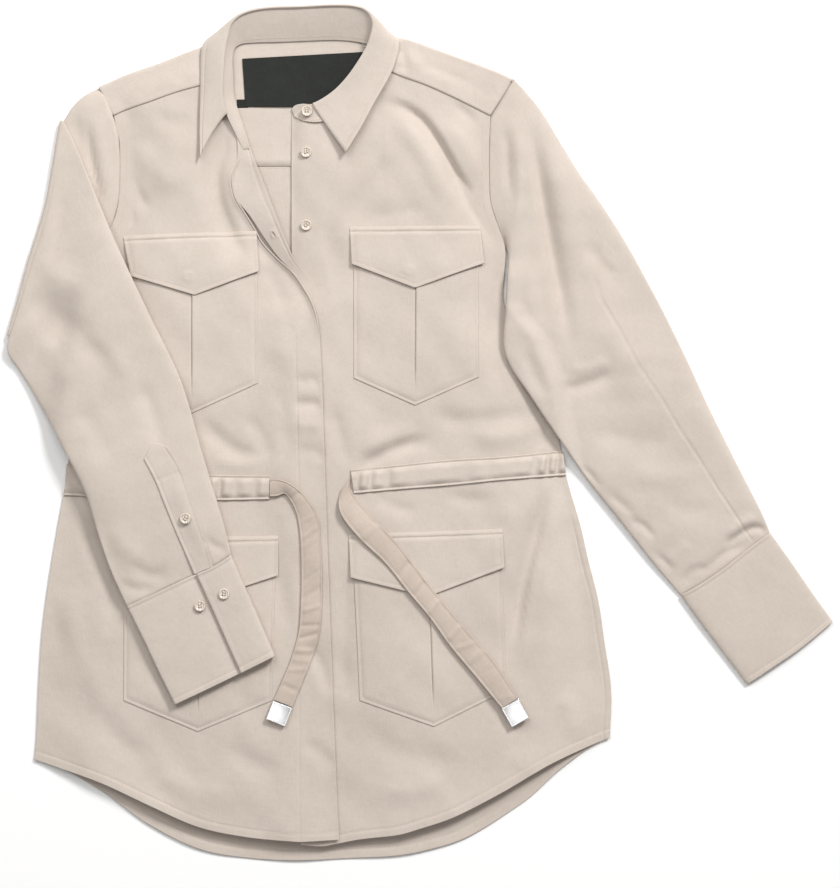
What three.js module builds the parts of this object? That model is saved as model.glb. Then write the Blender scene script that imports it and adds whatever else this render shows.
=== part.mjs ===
// A shirt-jacket in heavy cotton, laid out face up on a flat surface, with one sleeve folded over its front.
// Sizes are in millimetres. Tables give places as x, measured right from the left end of the laid-out
// garment, and d, measured down from the top of its collar; heights z are above the surface it lies on.
import * as THREE from 'three';

// Cloth
const CLOTH = 1.2;          // thickness of one layer
const SEAM = 0.3;           // gap between pieces that meet or lie on each other
const LAYER = CLOTH + SEAM; // rise from one layer to the next
const LABEL_CLOTH = 0.7;
const COLLAR_CLOTH = 1.3;

// Heights of the middle of a layer
const ON_TABLE = CLOTH / 2;
const SIDE_HEIGHT = 2.1;    // fronts at the side seams, one layer above the back
const ARMHOLE_HEIGHT = 3.0; // fronts at the armhole seams
const CHEST_HEIGHT = 5.2;   // fronts away from the sides
const RISE_WIDTH = 30;      // distance over which the fronts rise from the sides
const ARMPIT_DEPTH = 245;
const ARMPIT_SPREAD = 50;   // length over which the sides change height below the armpits

// Buttons and metal ends of the ties
const BUTTON_RADIUS = 5.3;
const BUTTON_THICKNESS = 2.2;
const TIE_END_THICKNESS = 2.6;

const COTTON = { color: 0xd6c8b7, roughness: 0.85, metalness: 0 };
const TWILL = { color: 0xcfc0ae, roughness: 0.8, metalness: 0 };
const LABEL = { color: 0x30332e, roughness: 0.7, metalness: 0 };
const PEARL = { color: 0xe2d9cc, roughness: 0.3, metalness: 0 };
const METAL = { color: 0xe6e6e8, roughness: 0.2, metalness: 1 };

// Outline of the body from the armholes to the hem: at each depth, the left and right side as it lies
const SIDES = [
  { d: 60, left: 99, right: 512 },
  { d: 87, left: 99.5, right: 505 },
  { d: 100, left: 106, right: 498.5 },
  { d: 116, left: 113, right: 490.5 },
  { d: 140, left: 119, right: 489 },
  { d: 180, left: 119, right: 489 },
  { d: 200, left: 118, right: 490 },
  { d: 215, left: 115, right: 494 },
  { d: 231, left: 109, right: 500 },
  { d: 248, left: 106, right: 505 },
  { d: 270, left: 102.5, right: 504.6 },
  { d: 303, left: 96.5, right: 503.6 },
  { d: 318, left: 93.5, right: 512 },
  { d: 340, left: 89.5, right: 530 },
  { d: 380, left: 82, right: 546 },
  { d: 440, left: 70.5, right: 559 },
  { d: 480, left: 65.5, right: 567 },
  { d: 525, left: 57.5, right: 580 },
  { d: 560, left: 51.5, right: 588 },
  { d: 600, left: 45.5, right: 598 },
  { d: 640, left: 41, right: 604 },
  { d: 690, left: 38, right: 611 },
  { d: 738, left: 36, right: 610 },
  { d: 760, left: 34, right: 610 },
];

// Eases from 0 to 1 as t goes from 0 to 1
const ease = (t) => THREE.MathUtils.smoothstep(t, 0, 1);

// The body's side at a depth
function side(d, name) {
  const last = SIDES.length - 1;
  if (d <= SIDES[0].d) return SIDES[0][name];
  if (d >= SIDES[last].d) return SIDES[last][name];
  const k = SIDES.findIndex((row) => row.d >= d);
  const [a, b] = [SIDES[k - 1], SIDES[k]];
  return THREE.MathUtils.mapLinear(d, a.d, b.d, a[name], b[name]);
}

// The side's points between two depths, for an edge that follows it
const sidePoints = (name, from, to) => [
  [side(from, name), from],
  ...SIDES.filter((row) => row.d > from + 2 && row.d < to - 2).map((row) => [row[name], row.d]),
  [side(to, name), to],
];

// Height of the middle of a front at a place: low at the sides, full over the chest
function frontHeight(x, d) {
  const inside = Math.min(x - side(d, 'left'), side(d, 'right') - x);
  const low = THREE.MathUtils.lerp(ARMHOLE_HEIGHT, SIDE_HEIGHT, ease((d - ARMPIT_DEPTH) / ARMPIT_SPREAD));
  return THREE.MathUtils.lerp(low, CHEST_HEIGHT, ease(inside / RISE_WIDTH));
}

// The top front rises by two layers where it crosses the fly strip and the other front
const FLY_LEFT = 284;
const FLY_RAMP = 8;
const FLY_RISE = 2 * LAYER + 0.2;
const FLY_TOP = 215;        // depth at which the fronts start to cross, below the open neck
const FLY_TOP_RAMP = 45;
const topFrontHeight = (x, d) =>
  frontHeight(x, d) + FLY_RISE * ease((x - FLY_LEFT) / FLY_RAMP) * ease((d - FLY_TOP) / FLY_TOP_RAMP);

// An edge: a smooth line through its points, read at equal lengths
function smooth(points) {
  const places = points.map(([x, d]) => new THREE.Vector3(x, d, 0));
  const curve = new THREE.CatmullRomCurve3(places, false, 'centripetal');
  curve.arcLengthDivisions = 40 * points.length;
  return (t) => {
    const p = curve.getPointAt(t);
    return [p.x, p.y];
  };
}

// An edge with corners: each straight stretch takes an equal share
function cornered(points) {
  const stretches = points.length - 1;
  return (t) => {
    const k = Math.min(Math.floor(t * stretches), stretches - 1);
    const share = t * stretches - k;
    const [a, b] = [points[k], points[k + 1]];
    return [THREE.MathUtils.lerp(a[0], b[0], share), THREE.MathUtils.lerp(a[1], b[1], share)];
  };
}

// Shares of a length at equal steps
const shares = (steps) => Array.from({ length: steps + 1 }, (_, k) => k / steps);

// Rows of places that fill the space between four edges; columns is a number of steps or a list of shares
function fill({ top, bottom, left, right, rows, columns }) {
  const [nw, ne, sw, se] = [top(0), top(1), bottom(0), bottom(1)];
  return shares(rows).map((v) => {
    const [l, r] = [left(v), right(v)];
    return (Array.isArray(columns) ? columns : shares(columns)).map((u) => {
      const [t, b] = [top(u), bottom(u)];
      return [0, 1].map((k) => {
        const ruled = (1 - u) * l[k] + u * r[k] + (1 - v) * t[k] + v * b[k];
        const corners = (1 - u) * (1 - v) * nw[k] + u * (1 - v) * ne[k] + (1 - u) * v * sw[k] + u * v * se[k];
        return ruled - corners;
      });
    });
  });
}

// A place on the garment in the part's own axes
const at = (x, d, z) => new THREE.Vector3(x, -d, z);

// A wall of cloth around rows of points on its middle; rows that close on themselves make a tube
function wall(rows, { thickness = CLOTH, closed = false } = {}) {
  const count = rows[0].length;
  const step = (j) => (closed ? (j + count) % count : THREE.MathUtils.clamp(j, 0, count - 1));
  const outer = [];
  const inner = [];
  rows.forEach((row, i) => {
    const before = rows[Math.max(i - 1, 0)];
    const after = rows[Math.min(i + 1, rows.length - 1)];
    row.forEach((point, j) => {
      const along = after[j].clone().sub(before[j]);
      const across = row[step(j + 1)].clone().sub(row[step(j - 1)]);
      const out = along.cross(across).normalize().multiplyScalar(thickness / 2);
      outer.push(point.clone().add(out));
      inner.push(point.clone().sub(out));
    });
  });
  const faces = [];
  const columns = closed ? count : count - 1;
  for (let i = 0; i < rows.length - 1; i += 1) {
    for (let j = 0; j < columns; j += 1) {
      const [a, b] = [i * count + j, i * count + step(j + 1)];
      const [c, e] = [a + count, b + count];
      faces.push([a, c, e], [a, e, b]);
    }
  }
  const edges = new Set(faces.flatMap(([a, b, c]) => [`${a} ${b}`, `${b} ${c}`, `${c} ${a}`]));
  const lower = outer.length;
  const index = faces.flatMap(([a, b, c]) => [a, b, c, c + lower, b + lower, a + lower]);
  edges.forEach((edge) => {
    const [a, b] = edge.split(' ').map(Number);
    if (!edges.has(`${b} ${a}`)) index.push(b, a, a + lower, b, a + lower, b + lower);
  });
  const geometry = new THREE.BufferGeometry();
  const numbers = [...outer, ...inner].flatMap((p) => p.toArray());
  geometry.setAttribute('position', new THREE.Float32BufferAttribute(numbers, 3));
  geometry.setIndex(index);
  geometry.computeVertexNormals();
  return geometry;
}

// A flat piece of cloth between four edges, at the height that a function gives
const panel = (edges, height, thickness = CLOTH) =>
  wall(fill(edges).map((row) => row.map(([x, d]) => at(x, d, height(x, d)))), { thickness });

const garment = new THREE.Group();

function sew(name, geometry, look) {
  const mesh = new THREE.Mesh(geometry, new THREE.MeshStandardMaterial({ side: THREE.FrontSide, ...look }));
  mesh.name = name;
  garment.add(mesh);
  return mesh;
}

// Back: flat on the surface, from the yoke seam to its long curved hem
const YOKE_SEAM_DEPTH = 165;
const BACK_TOP = YOKE_SEAM_DEPTH + SEAM;
const BACK_HEM = [
  [34, 760], [62, 770], [100, 791], [150, 826], [200, 850], [250, 859], [300, 861], [350, 859],
  [400, 856], [430, 850], [460, 841], [485, 828], [510, 812], [530, 798], [560, 770], [590, 748], [610, 738],
];
sew('back', panel({
  top: cornered(['left', 'right'].map((name) => [side(YOKE_SEAM_DEPTH, name), BACK_TOP])),
  bottom: smooth(BACK_HEM),
  left: smooth([[119, BACK_TOP], ...sidePoints('left', 180, 760)]),
  right: smooth([[489, BACK_TOP], ...sidePoints('right', 180, 738)]),
  rows: 13,
  columns: 10,
}, () => ON_TABLE), COTTON);

// Yoke: one piece from the back seam over both shoulders to the front seams, cut away round the neck.
// back, shoulder and front are where each strip of it crosses the back seam, the shoulder and its front edge;
// a strip under the neck has no shoulder and ends at the neck seam.
const YOKE = [
  { back: 119.3, shoulder: [98.5, 86], front: [113, 113.3] },
  { back: 140, shoulder: [110, 81], front: [126, 107.4] },
  { back: 160, shoulder: [128, 73], front: [150, 99.6] },
  { back: 180, shoulder: [160, 62], front: [176, 90.2] },
  { back: 200, shoulder: [190, 50], front: [200, 83.4] },
  { back: 215, shoulder: [212, 43.5], front: [221, 76.6] },
  { back: 228, shoulder: [226, 42], front: [236.6, 71.5] },
  { back: 237, shoulder: [235, 44], front: [237.4, 56.5] },
  { back: 246, front: [243, 47.4] },
  { back: 260, front: [254.5, 42.8] },
  { back: 280, front: [276, 42] },
  { back: 302, front: [302, 41] },
  { back: 326, front: [330, 40] },
  { back: 345, front: [351, 41] },
  { back: 358, front: [362, 44.5] },
  { back: 371, shoulder: [382, 41.5], front: [384, 54] },
  { back: 384, shoulder: [392, 38], front: [386.4, 66] },
  { back: 396, shoulder: [404, 37.5], front: [401, 74] },
  { back: 412, shoulder: [421, 43], front: [425, 82.6] },
  { back: 434, shoulder: [446, 52], front: [450, 93.6] },
  { back: 457, shoulder: [475, 62.5], front: [473, 104.6] },
  { back: 475, shoulder: [496, 70.5], front: [483, 109.6] },
  { back: 488.7, shoulder: [512.5, 78], front: [490.2, 113.2] },
];
const SHOULDER_ROLL = 1.1;
const SHOULDER_RISE = 32; // distance over which the yoke reaches the fronts' height
const NECK_ROWS = 7;
const SHOULDER_IN = 4;    // how far below the shoulder's outline the cloth starts to turn over
const ROLL_IN = 0.6;
sew('yoke', (() => {
  const strips = YOKE.map(({ back, shoulder, front }) => {
    const seam = YOKE_SEAM_DEPTH - SEAM;
    const end = shoulder ? [shoulder[0], shoulder[1] + SHOULDER_IN] : [front[0], front[1] + NECK_ROWS];
    const under = [0, 0.35, 0.7, 1].map((t) => {
      const d = THREE.MathUtils.lerp(seam, end[1], t);
      const x = THREE.MathUtils.lerp(back, end[0], t);
      return at(THREE.MathUtils.clamp(x, side(d, 'left') + SEAM, side(d, 'right') - SEAM), d, ON_TABLE);
    });
    if (!shoulder) {
      const edge = Array.from({ length: NECK_ROWS }, (_, k) => at(front[0], end[1] - k - 1, ON_TABLE));
      return [...under, ...edge];
    }
    const roll = [0, 1, 2, 3].map((k) => {
      const turn = (Math.PI * k) / 3;
      return at(shoulder[0], shoulder[1] + ROLL_IN + SHOULDER_ROLL * (1 - Math.sin(turn)),
        ON_TABLE + SHOULDER_ROLL * (1 - Math.cos(turn)));
    });
    const over = [0.3, 0.65, 1].map((t) => {
      const [x, d] = [0, 1].map((k) => THREE.MathUtils.lerp(shoulder[k] + k * 2, front[k], t));
      const low = ON_TABLE + 2 * SHOULDER_ROLL;
      const reach = Math.hypot(x - shoulder[0], d - shoulder[1]);
      const high = Math.max(low, frontHeight(x, d));
      return at(x, d, THREE.MathUtils.lerp(low, high, ease(reach / SHOULDER_RISE)));
    });
    return [...under, ...roll, ...over];
  });
  const rows = strips[0].map((_, i) => strips.map((strip) => strip[i]));
  return wall(rows.reverse());
})(), COTTON);

// Wearer's right front, on top: from the yoke seam and the neck to the hem, with the free edge of the fly
const TOP_FRONT_EDGE = [
  [236.8, 73], [236.6, 92], [240, 112], [244.5, 128], [246, 143], [239.5, 158], [233.5, 176], [235.5, 190],
  [241, 205], [252, 222], [262, 243], [276, 258], [291, 270.5], [301, 280], [309, 291], [316, 307],
  [319, 325], [322, 380], [324, 440], [328, 560], [333, 700], [337, 800], [339, 839],
];
sew('front_right', panel({
  top: smooth([[113.5, 115], [126, 109], [150, 101.2], [176, 91.8], [200, 85], [221, 78.2], [236.8, 73]]),
  bottom: smooth([[34, 760], [62, 769], [100, 782], [150, 805], [200, 827], [250, 837], [300, 841],
    [339, 839]]),
  left: smooth([[113.5, 115], ...sidePoints('left', 130, 760)]),
  right: smooth(TOP_FRONT_EDGE),
  rows: 30,
  columns: [0, 0.05, 0.11, 0.35, 0.6, 0.75, 0.82, 0.865, 0.91, 0.955, 1],
}, topFrontHeight), COTTON);

// Buttonhole strip of the fly: shows at the open neck and then runs down between the two fronts
sew('fly_strip', panel({
  top: cornered([[241, 148], [251.5, 147.6]]),
  bottom: cornered([[304, 838], [336, 838]]),
  left: smooth([[241, 148], [242, 160], [236.5, 176], [238.5, 189], [243, 203], [254, 218], [265, 233],
    [278, 248], [292, 262.5], [300.5, 276], [303, 290], [304, 330], [304, 500], [304, 838]]),
  right: smooth([[251.5, 147.6], [256, 163], [262, 180], [270, 205], [279, 228], [287, 248], [295, 261],
    [304, 274], [310, 288], [314.5, 306], [317, 330], [321, 440], [326, 600], [336, 838]]),
  rows: 28,
  columns: 2,
}, (x, d) => frontHeight(x, d) + LAYER), COTTON);

// Wearer's left front, below: its front edge carries the placket buttons
sew('front_left', panel({
  top: smooth([[292, 119.5], [303, 124], [318, 125.5], [335, 121.5], [351, 114], [368.5, 102], [381, 88],
    [387, 70], [401, 75.6], [425, 84.4], [450, 95.4], [473, 106.4], [490, 115]]),
  bottom: smooth([[301, 844], [320, 846], [339, 843], [360, 839], [400, 834], [420, 828], [450, 818],
    [500, 793], [550, 764], [590, 746], [610, 738]]),
  left: smooth([[292, 119.5], [291.8, 260], [296, 500], [301, 844]]),
  right: smooth([[490, 115], ...sidePoints('right', 130, 738)]),
  rows: 22,
  columns: [0, 0.06, 0.13, 0.24, 0.4, 0.6, 0.78, 0.89, 0.95, 1],
}, frontHeight), COTTON);

// Collar: at each station round the neck, the seam where the stand is sewn on, the roll where the stand
// turns into the fall, and the fall's free edge. The stand's two ends reach past the fall.
const COLLAR = [
  { seam: [252, 145.6, 7.2], roll: [240, 146, 8.2] },
  { seam: [246.2, 129, 7.1], roll: [231.5, 129.5, 10] },
  { seam: [241.6, 113, 7], roll: [225.5, 115, 11.6], edge: [201, 158, 9.5] },
  { seam: [239, 95, 6.8], roll: [223.5, 97, 13.2], edge: [200.5, 125, 8.2] },
  { seam: [238.4, 75, 6.6], roll: [224, 75, 13.6], edge: [201, 92, 7.8] },
  { seam: [239.4, 58, 5.2], roll: [226, 53, 13.9], edge: [201.5, 62, 7.4] },
  { seam: [241.6, 49, 2.6], roll: [227.5, 38, 13.9], edge: [204, 43.5, 6.4] },
  { seam: [246, 44, 1.5], roll: [232, 24, 13.8], edge: [217, 32, 2.4] },
  { seam: [255, 41.8, 1.1], roll: [244, 14.5, 13.4], edge: [237, 20, 1.2] },
  { seam: [276, 41, 1.1], roll: [266, 9.2, 13], edge: [266, 17, 1.2] },
  { seam: [302, 40, 1.1], roll: [301, 7.8, 13], edge: [301, 16, 1.2] },
  { seam: [330, 39, 1.1], roll: [335, 6.2, 13], edge: [335, 14, 1.2] },
  { seam: [351, 40, 1.1], roll: [356, 7.6, 13.4], edge: [357, 15, 1.2] },
  { seam: [366, 43, 2.2], roll: [367.5, 13, 13.9], edge: [376, 20, 1.6] },
  { seam: [377, 48.5, 4.4], roll: [373, 24, 13.9], edge: [390.5, 33, 3] },
  { seam: [383.4, 58, 5.8], roll: [371, 37, 13.8], edge: [398.5, 41, 6.8] },
  { seam: [384.6, 70, 5.2], roll: [365.5, 51, 13.4], edge: [396.5, 57, 7.6] },
  { seam: [379.6, 84, 5.2], roll: [352, 72, 12.4], edge: [389, 77, 7.8] },
  { seam: [367.6, 98, 5.2], roll: [338, 88, 11], edge: [375, 102, 8] },
  { seam: [350.4, 110, 5.3], roll: [325, 98, 10.5], edge: [360, 130, 8.4] },
  { seam: [334.4, 118, 5.4], roll: [313, 104, 9.4], edge: [346, 153, 9.4] },
  { seam: [318, 122, 5.5], roll: [303, 103.8, 8.4] },
  { seam: [303.5, 120.5, 5.6], roll: [295.5, 105, 8] },
  { seam: [294, 116, 5.7], roll: [291.5, 108.5, 7.8] },
];
const STAND_ROWS = [0, 0.33, 0.67, 1];
sew('collar_stand', wall(STAND_ROWS.map((t) => COLLAR.map(({ seam, roll }) =>
  at(...seam).lerp(at(...roll), t))), { thickness: COLLAR_CLOTH }), COTTON);

// The fall starts just above the roll, turns over it and comes down to its free edge
const FALL_STEPS = [0.3, 0.6, 1];
const FALL_INSET = 2;     // how far above the roll the fall starts
const TURN = { out: 1.4, up: 1.2 };
const SHOULDER_OUT = { least: 2, share: 0.4, down: 1.2 };
sew('collar_fall', (() => {
  const columns = [];
  COLLAR.forEach(({ roll, edge }, k) => {
    if (!edge) return;
    const top = at(...roll);
    const tip = at(...edge);
    const along = at(...COLLAR[k + 1].roll).sub(at(...COLLAR[k - 1].roll));
    const out = new THREE.Vector3(-along.y, along.x, 0).normalize();
    const reach = Math.max(tip.clone().sub(top).dot(out), 0);
    const shift = (by, up) => top.clone().addScaledVector(out, by).add(new THREE.Vector3(0, 0, up));
    const turn = shift(TURN.out, TURN.up);
    const shoulder = shift(SHOULDER_OUT.least + SHOULDER_OUT.share * reach, -SHOULDER_OUT.down);
    const fall = new THREE.QuadraticBezierCurve3(turn, shoulder, tip);
    columns.push([shift(0, FALL_INSET), turn, ...FALL_STEPS.map((t) => fall.getPoint(t))]);
  });
  return wall(columns[0].map((_, i) => columns.map((column) => column[i])), { thickness: COLLAR_CLOTH });
})(), COTTON);

// Neck label and the small tab beside it, flat on the inside of the yoke
const onYoke = () => CLOTH + SEAM + LABEL_CLOTH / 2;
const LABELS = {
  neck_label: [[243, 58], [367, 51], [367, 106], [246, 106]],
  size_tab: [[233, 98.5], [244.8, 98.5], [244.8, 107.5], [233, 107.5]],
};
Object.entries(LABELS).forEach(([name, [nw, ne, se, sw]]) => {
  sew(name, panel({
    top: cornered([nw, ne]), bottom: cornered([sw, se]), left: cornered([nw, sw]), right: cornered([ne, se]),
    rows: 2, columns: 4,
  }, onYoke, LABEL_CLOTH), LABEL);
});

// Pockets lie one layer above the front, and their flaps one layer above them. Both come to a point at the
// foot. top and bottom are rows of corners from left to right.
const POCKETS = {
  chest_pocket_right: {
    top: [[128, 247], [192, 246], [257, 245]], bottom: [[128, 385], [192, 413], [258, 383]], up: 1,
  },
  chest_flap_right: {
    top: [[123, 236], [189, 233.5], [256, 231]], bottom: [[131, 276], [195, 295], [259, 271]], up: 2,
  },
  chest_pocket_left: {
    top: [[354, 241], [416, 241], [478, 240]], bottom: [[354, 378], [415, 405], [478.5, 377]], up: 1,
  },
  chest_flap_left: {
    top: [[350, 227], [415, 226.6], [480, 226]], bottom: [[352, 264], [415, 288], [484, 263]], up: 2,
  },
  lower_pocket_right: {
    top: [[125, 551], [200, 550], [276, 549]], bottom: [[124, 700], [198, 731], [272, 700]], up: 1,
  },
  lower_flap_right: {
    top: [[120, 538], [199, 537], [278, 536]], bottom: [[122, 577], [199, 601], [278, 575]], up: 2,
  },
  lower_pocket_left: {
    top: [[353, 548], [428, 545], [501, 543]], bottom: [[360, 700], [434, 726], [506, 690]], up: 1,
  },
  lower_flap_left: {
    top: [[349, 534], [425, 532], [502, 529]], bottom: [[351, 577], [428, 596], [504, 567]], up: 2,
  },
};
const FLAP_BAND = 0.2; // share of a flap's length above the pocket's mouth, sewn down to the front
Object.entries(POCKETS).forEach(([name, { top, bottom, up }]) => {
  const edges = {
    top: cornered(top), bottom: cornered(bottom),
    left: cornered([top[0], bottom[0]]), right: cornered([top[2], bottom[2]]),
    rows: up === 1 ? 4 : 5, columns: [0, 0.12, 0.5, 0.88, 1],
  };
  const rows = fill(edges).map((row, i) => row.map(([x, d]) => {
    const share = i / edges.rows;
    const layers = up === 1 ? 1 : 1 + ease(share / FLAP_BAND);
    return at(x, d, frontHeight(x, d) + layers * LAYER);
  }));
  sew(name, wall(rows), COTTON);
});

// Casing of the drawstring at the waist, a flat channel on each front with an open end
const CASING_RISE = LAYER + 0.2;
sew('casing_right', panel({
  top: smooth([[66.5, 464], [140, 471], [208, 475], [269.5, 476]]),
  bottom: smooth([[64, 495], [140, 499], [208, 500], [269.5, 499]]),
  left: cornered([[66.5, 464], [64, 495]]),
  right: cornered([[269.5, 476], [269.5, 499]]),
  rows: 2,
  columns: [0, 0.07, 0.16, 0.35, 0.6, 0.8, 1],
}, (x, d) => frontHeight(x, d) + CASING_RISE), COTTON);
sew('casing_left', panel({
  top: smooth([[351, 470], [400, 465], [450, 460], [500, 457], [562.5, 451]]),
  bottom: smooth([[354, 493], [400, 489], [450, 485], [500, 480], [566, 475]]),
  left: cornered([[351, 470], [354, 493]]),
  right: cornered([[562.5, 451], [566, 475]]),
  rows: 2,
  columns: [0, 0.2, 0.4, 0.65, 0.84, 0.93, 1],
}, (x, d) => frontHeight(x, d) + CASING_RISE), COTTON);

// Flat woven ties: each comes out of its casing, turns down and lies along the front to a metal end.
// The left one crosses the lower pocket and its flap.
const TIE_RAMP = 20;      // the right tie rises over the fly within this distance
const POCKET_NEAR = 500;  // depth at which the left tie starts to rise over the flap
const POCKET_RAMP = 32;
const TIES = {
  tie_right: {
    start: [[270.3, 480], [270.3, 496]],
    left: [[270.3, 496], [281, 497], [291, 510], [298, 528], [300.5, 550], [301, 600], [299, 632], [291, 660],
      [284, 677], [274.5, 699]],
    right: [[270.3, 480], [289, 485], [303, 497], [313, 512], [319, 530], [321.5, 560], [322, 600],
      [319, 635], [309.5, 664], [303, 680], [292.5, 706]],
    end: [[274.5, 699], [292.5, 706]],
    height: (x, d) => frontHeight(x, d) + LAYER + FLY_RISE * ease((x - FLY_LEFT) / TIE_RAMP + 1),
  },
  tie_left: {
    start: [[341, 490], [350, 478]],
    left: [[341, 490], [339, 503], [342, 515], [360, 538], [385, 562], [409, 592], [430, 617], [450, 645],
      [475, 675], [490, 693], [502, 707.5]],
    right: [[350, 478], [350.4, 489], [357, 500], [370, 515], [385, 530], [400, 547], [415, 567], [437, 595],
      [455, 617], [475, 640], [495, 663], [517, 697]],
    end: [[502, 707.5], [517, 697]],
    height: (x, d) => frontHeight(x, d) + LAYER * (1 + 2 * ease((d - POCKET_NEAR) / POCKET_RAMP)),
  },
};
Object.entries(TIES).forEach(([name, { start, left, right, end, height }]) => {
  sew(name, panel({
    top: cornered(start), bottom: cornered(end), left: smooth(left), right: smooth(right),
    rows: 22, columns: 2,
  }, height), TWILL);
});

// Metal ends: flat clamps over the cut ends of the ties, drawn by their four corners
const TIE_END_SHARE = 0.97; // size of a clamp against its four corners, so that its rim stays inside them
const TIE_ENDS = {
  tie_end_right: {
    corners: [[273.6, 699.6], [292.6, 707], [285.4, 726], [266.4, 717.6]], on: TIES.tie_right,
  },
  tie_end_left: {
    corners: [[501.6, 708.4], [517.8, 697.6], [529, 716], [511.4, 727]], on: TIES.tie_left,
  },
};
Object.entries(TIE_ENDS).forEach(([name, { corners, on }]) => {
  const centre = [0, 1].map((k) => corners.reduce((sum, corner) => sum + corner[k], 0) / corners.length);
  const inward = ([x, d]) => new THREE.Vector2(x - centre[0], centre[1] - d).multiplyScalar(TIE_END_SHARE);
  const outline = new THREE.Shape(corners.map(inward));
  const depth = TIE_END_THICKNESS;
  const geometry = new THREE.ExtrudeGeometry(outline, { depth, bevelEnabled: false, steps: 1 });
  geometry.translate(centre[0], -centre[1], on.height(...centre) - CLOTH / 2 + SEAM / 2);
  sew(name, geometry, METAL);
});

// A flattened sleeve or cuff: at each station a loop goes over and under between its two long edges.
// across is the station's line from one edge to the other, gap the distance between the two layers' middles.
const LOOP_TURNS = [Math.PI / 2, Math.PI / 4, 0, -Math.PI / 4, -Math.PI / 2];
const LOOP_SHARES = [0.2, 0.4, 0.6, 0.8];
function loop(across, gap, place) {
  const line = smooth(across);
  const [start, end] = [line(0), line(1)];
  const length = Math.hypot(end[0] - start[0], end[1] - start[1]);
  const radius = gap / 2;
  const tuck = (turn) => (radius * (1 - Math.cos(turn))) / length;
  const points = [];
  LOOP_SHARES.forEach((share) => points.push([share, 1]));
  LOOP_TURNS.forEach((turn) => points.push([1 - tuck(turn), Math.sin(turn)]));
  [...LOOP_SHARES].reverse().forEach((share) => points.push([share, -1]));
  [...LOOP_TURNS].reverse().forEach((turn) => points.push([tuck(turn), Math.sin(turn)]));
  return points.map(([share, side]) => place(...line(share), radius * side, radius));
}

// Wearer's left sleeve, straight out to the viewer's right, its inner edge lying on the side of the body
const SLEEVE_LEFT = [
  { across: [[514.6, 78.5], [506, 88.5], [499.8, 101], [492, 116], [490.4, 145], [490.4, 180], [491.6, 200],
    [496, 215], [502, 230.5], [507.8, 248]], gap: 2.4 },
  { across: [[540, 110], [515, 175], [508.6, 262]], gap: 3 },
  { across: [[560, 143], [530, 210], [507, 285]], gap: 3.8 },
  { across: [[578, 172], [542, 240], [505.8, 312]], gap: 4.4 },
  { across: [[600, 203], [552, 272], [504, 345]], gap: 4.6 },
  { across: [[625, 242], [565, 308], [511, 367]], gap: 4.6 },
  { across: [[645, 278], [588, 338], [528, 392]], gap: 4.6 },
  { across: [[663, 312], [606, 368], [546, 419]], gap: 4.6 },
  { across: [[685, 357], [627, 405], [566, 448]], gap: 4.6 },
  { across: [[708, 407], [650, 447], [590, 482]], gap: 4.6 },
  { across: [[738, 467], [680, 497], [622, 522]], gap: 4.2 },
  { across: [[760, 510], [706, 537], [652, 560]], gap: 3.8 },
  { across: [[770.5, 534], [750, 549], [725, 569], [700, 586], [682.5, 596]], gap: 3.4 },
];
// Below the armpit the sleeve's inner edge climbs from the surface on to the side of the body
const SLEEVE_CLIMB = { height: 5.9, width: 22, from: 256, over: 26 };
function sleeveLeftRest(x, d) {
  const inward = side(d, 'right') + SLEEVE_CLIMB.width - x;
  return ON_TABLE + SLEEVE_CLIMB.height * ease(inward / SLEEVE_CLIMB.width)
    * ease((d - SLEEVE_CLIMB.from) / SLEEVE_CLIMB.over);
}
const overBody = (x, d, up, radius) => at(x, d, sleeveLeftRest(x, d) + radius + up);
const overBodyLoops = (stations) => wall(stations.map(({ across, gap }) => loop(across, gap, overBody)),
  { closed: true });
sew('sleeve_left', overBodyLoops(SLEEVE_LEFT), COTTON);

const CUFF_LEFT = [
  { across: [[770.8, 534.5], [750.3, 549.5], [725.3, 569.5], [700.3, 586.5], [682.9, 596.6]], gap: 3.4 },
  { across: [[792, 564], [749, 600], [704, 626]], gap: 3.6 },
  { across: [[812, 593], [771, 628], [726, 655]], gap: 3.6 },
  { across: [[833, 622], [800, 649], [775, 666], [748, 684]], gap: 3.4 },
];
sew('cuff_left', overBodyLoops(CUFF_LEFT), COTTON);

// Wearer's right sleeve: the upper arm lies on the surface as far as the fold, the forearm comes back over it
// and over the front. The fold turns round an axis, a row for each step of the turn.
const UPPER_ARM = [
  { across: [[96.6, 88.4], [102.4, 96], [107.4, 107], [111.4, 118], [115.6, 132], [117.4, 150], [117.4, 180],
    [116.2, 200], [112.6, 216], [107.4, 231.6]], gap: 2.4 },
  { across: [[84, 95.5], [88, 170], [76, 264]], gap: 2.8 },
  { across: [[73, 105.5], [68, 180], [45, 299]], gap: 3 },
];
const FOLD_AXIS = [[63, 121], [56, 166], [48, 209], [31, 264], [20, 304], [10, 336]];
const FOLD_GAP = 3;
const FOLD_INNER = 1.1;
const FOLD_TURNS = [0, 1, 2, 3, 4, 5, 6].map((k) => (Math.PI * k) / 6);
const FOREARM = [
  { across: [[75, 145], [46, 238], [8, 352]], gap: 3.2 },
  { across: [[100, 205], [66, 290], [22, 374]], gap: 3.8 },
  { across: [[125, 262], [88, 336], [42, 407]], gap: 4.4 },
  { across: [[150, 315], [110, 384], [64, 446]], gap: 4.6 },
  { across: [[181, 380], [137, 440], [87, 492]], gap: 4.6 },
  { across: [[203, 454], [152, 500], [100, 534]], gap: 4.4 },
  { across: [[222, 517], [167, 550], [112, 569]], gap: 4 },
  { across: [[231.6, 555], [215, 566], [196.5, 574], [175, 584], [150, 596], [128.5, 606]], gap: 3.6 },
];
const FOREARM_ON_ARM = ON_TABLE + FOLD_GAP + 2 * FOLD_INNER;
const LAYERS_UNDER_FOREARM = 3.2; // pocket, flap and tie or casing, with a little air
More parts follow.
